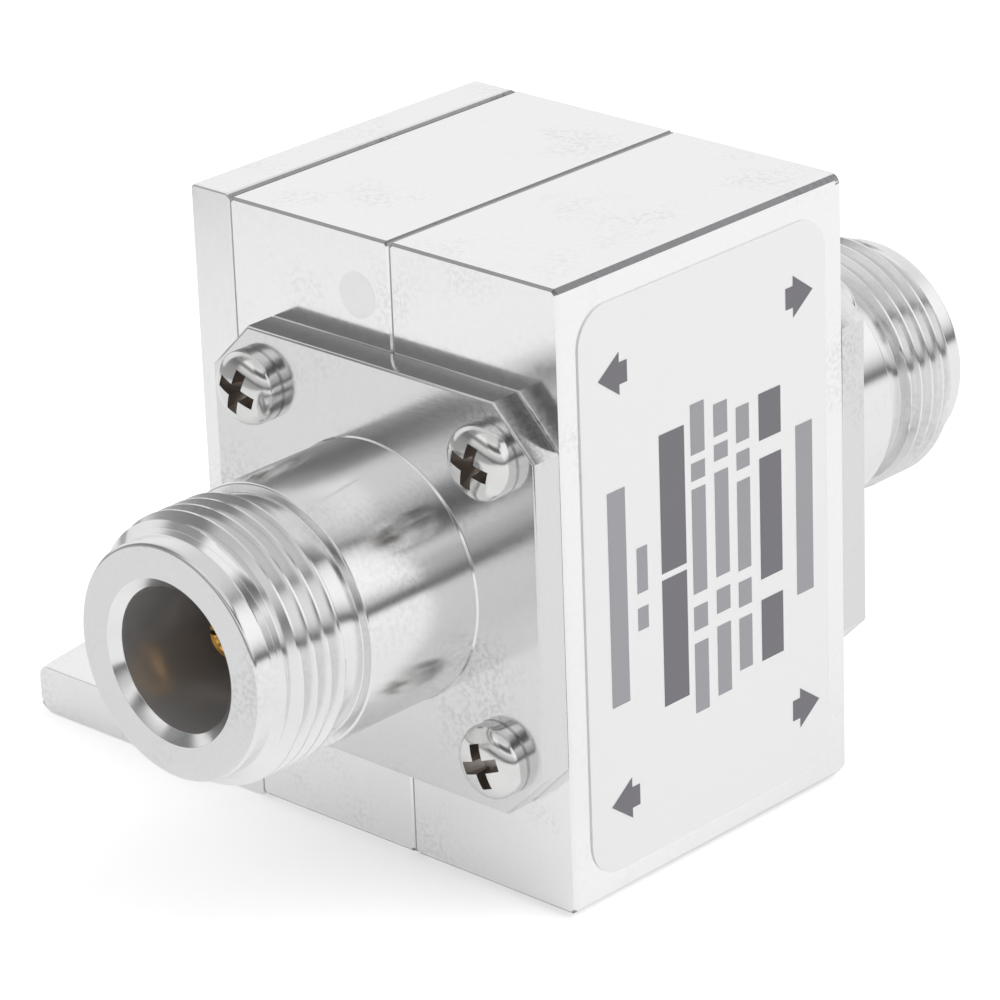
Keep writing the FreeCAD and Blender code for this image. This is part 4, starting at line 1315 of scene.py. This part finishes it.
@dataclass
class LabelPrint:
    """Grey print of the label: four arrows and plain bars in place of lines of text.

    Places are measured from the block's lower front corner, along the face and up.

    Args:
        lift: how far the print stands off the film.
        arrows: along and up of each arrow's tip, and the way that it points.
        arrow_head: length of an arrow's head.
        arrow_length: length of the whole arrow.
        head_half: half width of its head.
        tail_half: half width of its tail.
        bold_columns: near and far side of each column of heavy bars, and top and foot of each bar.
        thin_columns: the same for light bars.
    """

    lift: float = 0.012
    arrows: tuple = ((3.02, 31.85, -1), (21.55, 31.92, 1), (3.2, 5.68, -1), (21.75, 5.85, 1))
    arrow_head: float = 1.77
    arrow_length: float = 2.43
    head_half: float = 1.29
    tail_half: float = 0.66
    bold_columns: tuple = (
        ((7.95, 10.1), ((27.1, 18.6), (18.2, 10.3))),
        ((16.6, 18.55), ((26.9, 24.0), (22.9, 15.3), (14.0, 10.1))),
    )
    thin_columns: tuple = (
        ((3.5, 5.0), ((25.0, 11.8),)),
        ((5.85, 6.75), ((20.9, 18.1), (17.2, 15.8))),
        ((10.65, 11.85), ((28.1, 25.0), (24.5, 23.4), (22.9, 16.4), (15.6, 14.1), (13.3, 8.9))),
        ((12.65, 13.85), ((27.5, 25.5), (25.0, 24.0), (23.3, 16.8), (16.0, 14.5), (13.7, 9.3))),
        ((14.6, 15.75), ((26.7, 24.5), (23.9, 22.8), (22.1, 16.5), (15.8, 14.2), (13.5, 10.2))),
        ((19.85, 21.35), ((23.9, 13.2),)),
    )

    def arrow(self, tip: float, height: float, way: int) -> list:
        """Outline of an arrow.

        Args:
            tip: how far along its tip lies.
            height: how far up.
            way: -1 where it points to the front, 1 where it points to the back.

        Returns:
            Outline as (along, up).
        """
        neck, tail = tip - way * self.arrow_head, tip - way * self.arrow_length
        head, stem = self.head_half, self.tail_half
        return [(tip, height), (neck, height + head), (neck, height + stem), (tail, height + stem),
                (tail, height - stem), (neck, height - stem), (neck, height - head)]

    def bars(self, columns: tuple) -> list:
        """Outlines of the bars of some columns."""
        return [[(left, low), (right, low), (right, top), (left, top)]
                for (left, right), spans in columns for top, low in spans]

    def shapes(self, name: str, outlines: list, finish: Finish, materials: Materials) -> bpy.types.Object:
        """Flat printed shapes as one piece.

        Args:
            name: name of the piece.
            outlines: outline of each shape as (along, up).
            finish: the ink.
            materials: maker of the materials.

        Returns:
            The piece.
        """
        face_x = LABEL_FACE_X + self.lift * MM
        shape = bmesh.new()
        for outline in outlines:
            shape.faces.new([shape.verts.new((face_x, FRONT_Y + along * MM, COVER_LOW.z + up * MM))
                             for along, up in outline])
        for face in shape.faces:
            face.normal_update()
            if face.normal.x < 0:
                face.normal_flip()
        made = link_mesh(name, mesh_from(shape, name))
        dress(made, materials, finish)
        return finish_object(made)

    def build(self, materials: Materials) -> None:
        """Arrows and heavy bars as one piece, light bars as another.

        Args:
            materials: maker of the materials.
        """
        heavy = [self.arrow(*arrow) for arrow in self.arrows] + self.bars(self.bold_columns)
        self.shapes("label_print", heavy, Shade.INK, materials)
        self.shapes("label_fine_print", self.bars(self.thin_columns), Shade.THIN_INK, materials)


@dataclass
class ToolMark:
    """Faint round mark that a tool left on the front of the middle block.

    Args:
        from_seam: distance of its centre from the seam between the blocks.
        above_foot: height of its centre above the blocks' underside.
        radius: its radius.
        lift: how far it stands off the face.
        steps: corners of the disc.
    """

    from_seam: float = 2.64
    above_foot: float = 34.36
    radius: float = 1.4
    lift: float = 0.004
    steps: int = 48

    def build(self, materials: Materials) -> bpy.types.Object:
        """One flat disc that faces -Y.

        Args:
            materials: maker of the materials.

        Returns:
            The piece.
        """
        shape = bmesh.new()
        bmesh.ops.create_circle(shape, cap_ends=True, segments=self.steps, radius=self.radius * MM)
        mesh = mesh_from(shape, "tool_mark")
        if mesh.polygons[0].normal.z < 0:
            mesh.flip_normals()
        centre = (SEAM_X - self.from_seam * MM, FRONT_Y - self.lift * MM, COVER_LOW.z + self.above_foot * MM)
        mesh.transform(Matrix.Translation(centre) @ Matrix.Rotation(math.radians(90), 4, "X"))
        made = link_mesh("tool_mark", mesh)
        dress(made, materials, Shade.MARK)
        return finish_object(made)


@dataclass(frozen=True)
class Sector:
    """Stretch of the studio wall as the metal sees it.

    Args:
        levels: brightness at each elevation in degrees, from the floor up.
        border: azimuth in degrees where this sector takes over from the one before it.
        soft: half width of the change in degrees.
    """

    levels: tuple
    border: float = 0.0
    soft: float = 4.0


@dataclass
class Studio:
    """White sweep, soft light and camera.

    Args:
        camera_place: camera's place from the lower front left corner of the body.
        azimuth: direction of the camera in degrees.
        elevation: its height in degrees.
        roll: its turn about the line of sight in degrees.
        lens: its focal length.
        sensor: width of its sensor.
        clip: nearest and farthest that it shows, in metres.
        brightest: scale of the brightness ramps, above every level.
        behind: wall behind the object.
        sides: walls from the left round the front to the right.
        rear: azimuth where the wall behind takes over again.
        rear_soft: half width of that change in degrees.
        lamp_place: place of the lamp in metres.
        lamp_target: what the lamp points at, in metres.
        lamp_size: side of the square lamp in metres.
        lamp_power: its power in watts.
        floor_size: reach of the floor to each side in metres.
        floor_drop: how far it lies below the object in metres.
        floor_colour: colour of the floor.
        painted_shade_colour: colour of painted shade on the floor far to the left front, where only the metal
            sees it.
        floor_glow: extra brightness that makes the floor white to the camera.
        painted_light_centre: middle of the patch of painted light on the floor that only the metal sees, in
            metres.
        painted_light_reach: where that patch starts and stops to fade, in metres.
        painted_light: its painted light, as extra brightness inside and outside.
        painted_shade_reach: where the painted shade starts and is full, in metres.
    """

    camera_place: tuple = (204.16, -188.74, 133.95)
    azimuth: float = 43.696
    elevation: float = 22.736
    roll: float = -2.132
    lens: float = 182.39
    sensor: float = 36.0
    clip: tuple = (0.01, 20.0)
    brightest: float = 1.5
    behind: Sector = Sector((
        (-90, 0.9), (5, 0.92), (18, 0.96), (27, 0.98), (39, 0.9), (46, 0.82), (51, 0.75), (60, 0.8),
        (90, 0.75)))
    sides: tuple = (
        Sector(((-90, 0.8), (-2, 0.42), (12, 0.33), (20, 0.23), (30, 0.22), (34, 0.3), (38, 0.36), (46, 0.32),
                (56, 0.5), (90, 0.75)), -163.0, 5.0),
        Sector(((-90, 0.85), (-1, 0.5), (2, 0.15), (5, 0.2), (8, 0.65), (21, 0.88), (27, 0.3), (34, 0.3),
                (38, 0.6), (41, 0.9), (44, 1.08), (50, 1.12), (60, 0.9), (90, 0.75)), -127.0, 6.0),
        Sector(((-90, 0.85), (-8, 0.8), (-3, 0.2), (3, 0.16), (8, 0.47), (12, 0.66), (17, 0.7), (21, 0.9),
                (25, 1.1), (27.5, 0.9), (29, 0.21), (33, 0.15), (40, 0.1), (43, 0.28), (45, 0.38),
                (47, 0.58), (51, 1.0), (60, 0.8), (90, 0.75)), -80.0, 7.0),
        Sector(((-90, 0.95), (-1, 0.9), (1, 0.1), (4, 0.15), (8, 0.65), (13, 0.97), (17, 1.1), (22, 1.12),
                (31, 1.12), (36, 1.08), (40, 0.96), (43, 0.75), (44.5, 0.22), (47, 0.25), (49, 0.5),
                (52, 0.72), (60, 0.8), (90, 0.75)), -5.0, 8.0),
    )
    rear: float = 80.0
    rear_soft: float = 13.0
    lamp_place: tuple = (0.42, 0.12, 0.62)
    lamp_target: tuple = (0.0, 0.0, 0.02)
    lamp_size: float = 0.6
    lamp_power: float = 1.7
    floor_size: float = 3.0
    floor_drop: float = 0.00002
    floor_colour: str = "F4F4F4"
    painted_shade_colour: str = "A0A0A0"
    floor_glow: float = 0.42
    painted_light_centre: tuple = (0.006, -0.022, 0.0)
    painted_light_reach: tuple = (0.008, 0.036)
    painted_light: tuple = (0.26, 0.12)
    painted_shade_reach: tuple = (0.118, 0.15)

    def camera(self) -> None:
        """Camera fitted to the photo's edges."""
        turn, rise, roll = (math.radians(value) for value in (self.azimuth, self.elevation, self.roll))
        back = Vector((math.sin(turn) * math.cos(rise), -math.cos(turn) * math.cos(rise), math.sin(rise)))
        right = Vector((math.cos(turn), math.sin(turn), 0.0))
        up = back.cross(right)
        across = right * math.cos(roll) + up * math.sin(roll)
        above = up * math.cos(roll) - right * math.sin(roll)
        corner = Vector((COVER_HIGH.x - BODY_WIDTH * MM, COVER_LOW.y, COVER_LOW.z))
        pose = Matrix((across, above, back)).transposed().to_4x4()
        pose.translation = corner + Vector(self.camera_place) * MM
        data = bpy.data.cameras.new("camera")
        data.lens = self.lens
        data.sensor_width = self.sensor
        data.clip_start, data.clip_end = self.clip
        made = bpy.data.objects.new("camera", data)
        made.matrix_world = pose
        bpy.context.scene.collection.objects.link(made)
        bpy.context.scene.camera = made

    def world(self) -> None:
        """Sky by direction: white to the camera, panels to everything else."""
        world = bpy.data.worlds.new("studio")
        bpy.context.scene.world = world
        world.use_nodes = True
        world.cycles.sampling_method = "NONE"
        graph = Graph(world.node_tree)
        world.node_tree.nodes.clear()
        way = graph.add("ShaderNodeTexCoord").outputs["Generated"]
        across, along, up = graph.add("ShaderNodeSeparateXYZ", {"Vector": way}).outputs
        azimuth = graph.math("DEGREES", graph.math("ARCTAN2", along, across))
        elevation = graph.math("DEGREES", graph.math("ARCSINE", up))
        rise = graph.range(elevation, -90.0, 90.0, 0.0, 1.0, "LINEAR")
        level = self.wall(graph, rise, self.behind)
        for sector in (*self.sides, Sector(self.behind.levels, self.rear, self.rear_soft)):
            past = graph.range(azimuth, sector.border - sector.soft, sector.border + sector.soft, 0.0, 1.0)
            level = graph.mix(past, level, self.wall(graph, rise, sector))
        seen = graph.add("ShaderNodeLightPath").outputs["Is Camera Ray"]
        shown = graph.mix(seen, graph.math("MULTIPLY", level, self.brightest), 1.0)
        light = graph.add("ShaderNodeBackground", {"Color": (1, 1, 1, 1), "Strength": shown})
        graph.add("ShaderNodeOutputWorld", {"Surface": light.outputs["Background"]})

    def wall(self, graph: Graph, rise: bpy.types.NodeSocket, sector: Sector) -> bpy.types.NodeSocket:
        """Brightness of one sector by elevation, as a share of the brightest level.

        Args:
            graph: nodes of the world.
            rise: elevation, from 0 straight down to 1 straight up.
            sector: the stretch of wall.

        Returns:
            The brightness.
        """
        ramp = graph.add("ShaderNodeValToRGB", {"Fac": rise})
        stops = ramp.color_ramp.elements
        while len(stops) < len(sector.levels):
            stops.new(0.5)
        for stop, (degrees, level) in zip(stops, sector.levels):
            stop.position = (degrees + 90) / 180
            stop.color = (*(level / self.brightest,) * 3, 1.0)
        return ramp.outputs["Color"]

    def lamp(self) -> None:
        """Soft square lamp, which no mirror shows."""
        data = bpy.data.lights.new("key", "AREA")
        data.shape = "SQUARE"
        data.size = self.lamp_size
        data.energy = self.lamp_power
        made = bpy.data.objects.new("key", data)
        made.location = self.lamp_place
        line = Vector(self.lamp_target) - Vector(self.lamp_place)
        made.rotation_euler = line.to_track_quat("-Z", "Y").to_euler()
        made.visible_glossy = False
        bpy.context.scene.collection.objects.link(made)

    def floor(self) -> None:
        """Pale floor that keeps the object's shadow, with a patch of painted light near the object that only
        reflections see, and painted shade far to the left front that the camera doesn't see.
        """
        shape = bmesh.new()
        bmesh.ops.create_grid(shape, x_segments=1, y_segments=1, size=self.floor_size)
        made = link_mesh("floor", mesh_from(shape, "floor"))
        made.location.z = -self.floor_drop
        material = bpy.data.materials.new("white_paper_floor")
        material.use_nodes = True
        graph = Graph(material.node_tree)
        shader = material.node_tree.nodes["Principled BSDF"]
        shader.inputs["Roughness"].default_value = 0.9
        shader.inputs["Specular IOR Level"].default_value = 0.0
        shader.inputs["Emission Color"].default_value = (1, 1, 1, 1)
        rays = graph.add("ShaderNodeLightPath").outputs
        seen, mirrored = rays["Is Camera Ray"], rays["Is Glossy Ray"]
        place = graph.add("ShaderNodeTexCoord").outputs["Object"]
        off = graph.vector("DISTANCE", place, self.painted_light_centre).outputs["Value"]
        painted_light = graph.range(off, *self.painted_light_reach, *self.painted_light)
        # Painted light: a brighter patch of floor round the object that only glossy rays see
        lift = graph.math("MULTIPLY_ADD", mirrored, painted_light, graph.math("MULTIPLY", seen, self.floor_glow))
        graph.tree.links.new(lift, shader.inputs["Emission Strength"])
        across, along, _ = graph.add("ShaderNodeSeparateXYZ", {"Vector": place}).outputs
        away = graph.math("MULTIPLY", graph.math("ADD", across, along), -math.sqrt(0.5))
        # Painted shade: the floor turns darker far to the left front for every ray but the camera's
        painted_shade_mask = graph.math("MULTIPLY", graph.range(away, *self.painted_shade_reach, 0.0, 1.0),
                            graph.math("SUBTRACT", 1.0, seen))
        shade = graph.mix(painted_shade_mask, colour(self.floor_colour), colour(self.painted_shade_colour), "RGBA")
        graph.tree.links.new(shade, shader.inputs["Base Color"])
        made.data.materials.append(material)

    def build(self) -> None:
        """Everything round the object."""
        bpy.context.scene.view_settings.view_transform = "Standard"
        self.world()
        self.floor()
        self.lamp()
        self.camera()


def main() -> None:
    """Builds the looks, the studio and the camera."""
    logging.basicConfig(level=logging.INFO)
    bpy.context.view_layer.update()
    materials = Materials()
    for name, finish in NODE_FINISHES.items():
        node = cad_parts[name]
        node.data.materials.clear()
        node.data.materials.append(materials.get(finish))
    bracket = CopyOfSolid("mounting_bracket", "plated_plate", Shade.PLATE, end_break=0.15, far_round=0.6)
    bracket.build(materials)
    CopyOfSolid("middle_block", "plated_block", Shade.BLOCK, BrokenEdges()).build(materials)
    cover_edges = BrokenEdges(flat=(0.26, 0.31), drop=(0.23, 0.28), kept=0.6)
    CopyOfSolid("cover_block", "plated_block", Shade.BLOCK, cover_edges).build(materials)
    JointLineAndPaintedShade("bracket_joint", BRACKET_SIDE_X).build(materials)
    JointLineAndPaintedShade("block_joint", SEAM_X).build(materials)
    Jack("equipment", 0.0, (70.0, 75.0, 20.0, 40.0)).build(materials)
    Jack("antenna", 180.0, (15.0, 62.0, 33.0, 80.0)).build(materials)
    ToolMark().build(materials)
    LabelPrint().build(materials)
    Studio().build()


if __name__ == "__main__":
    main()
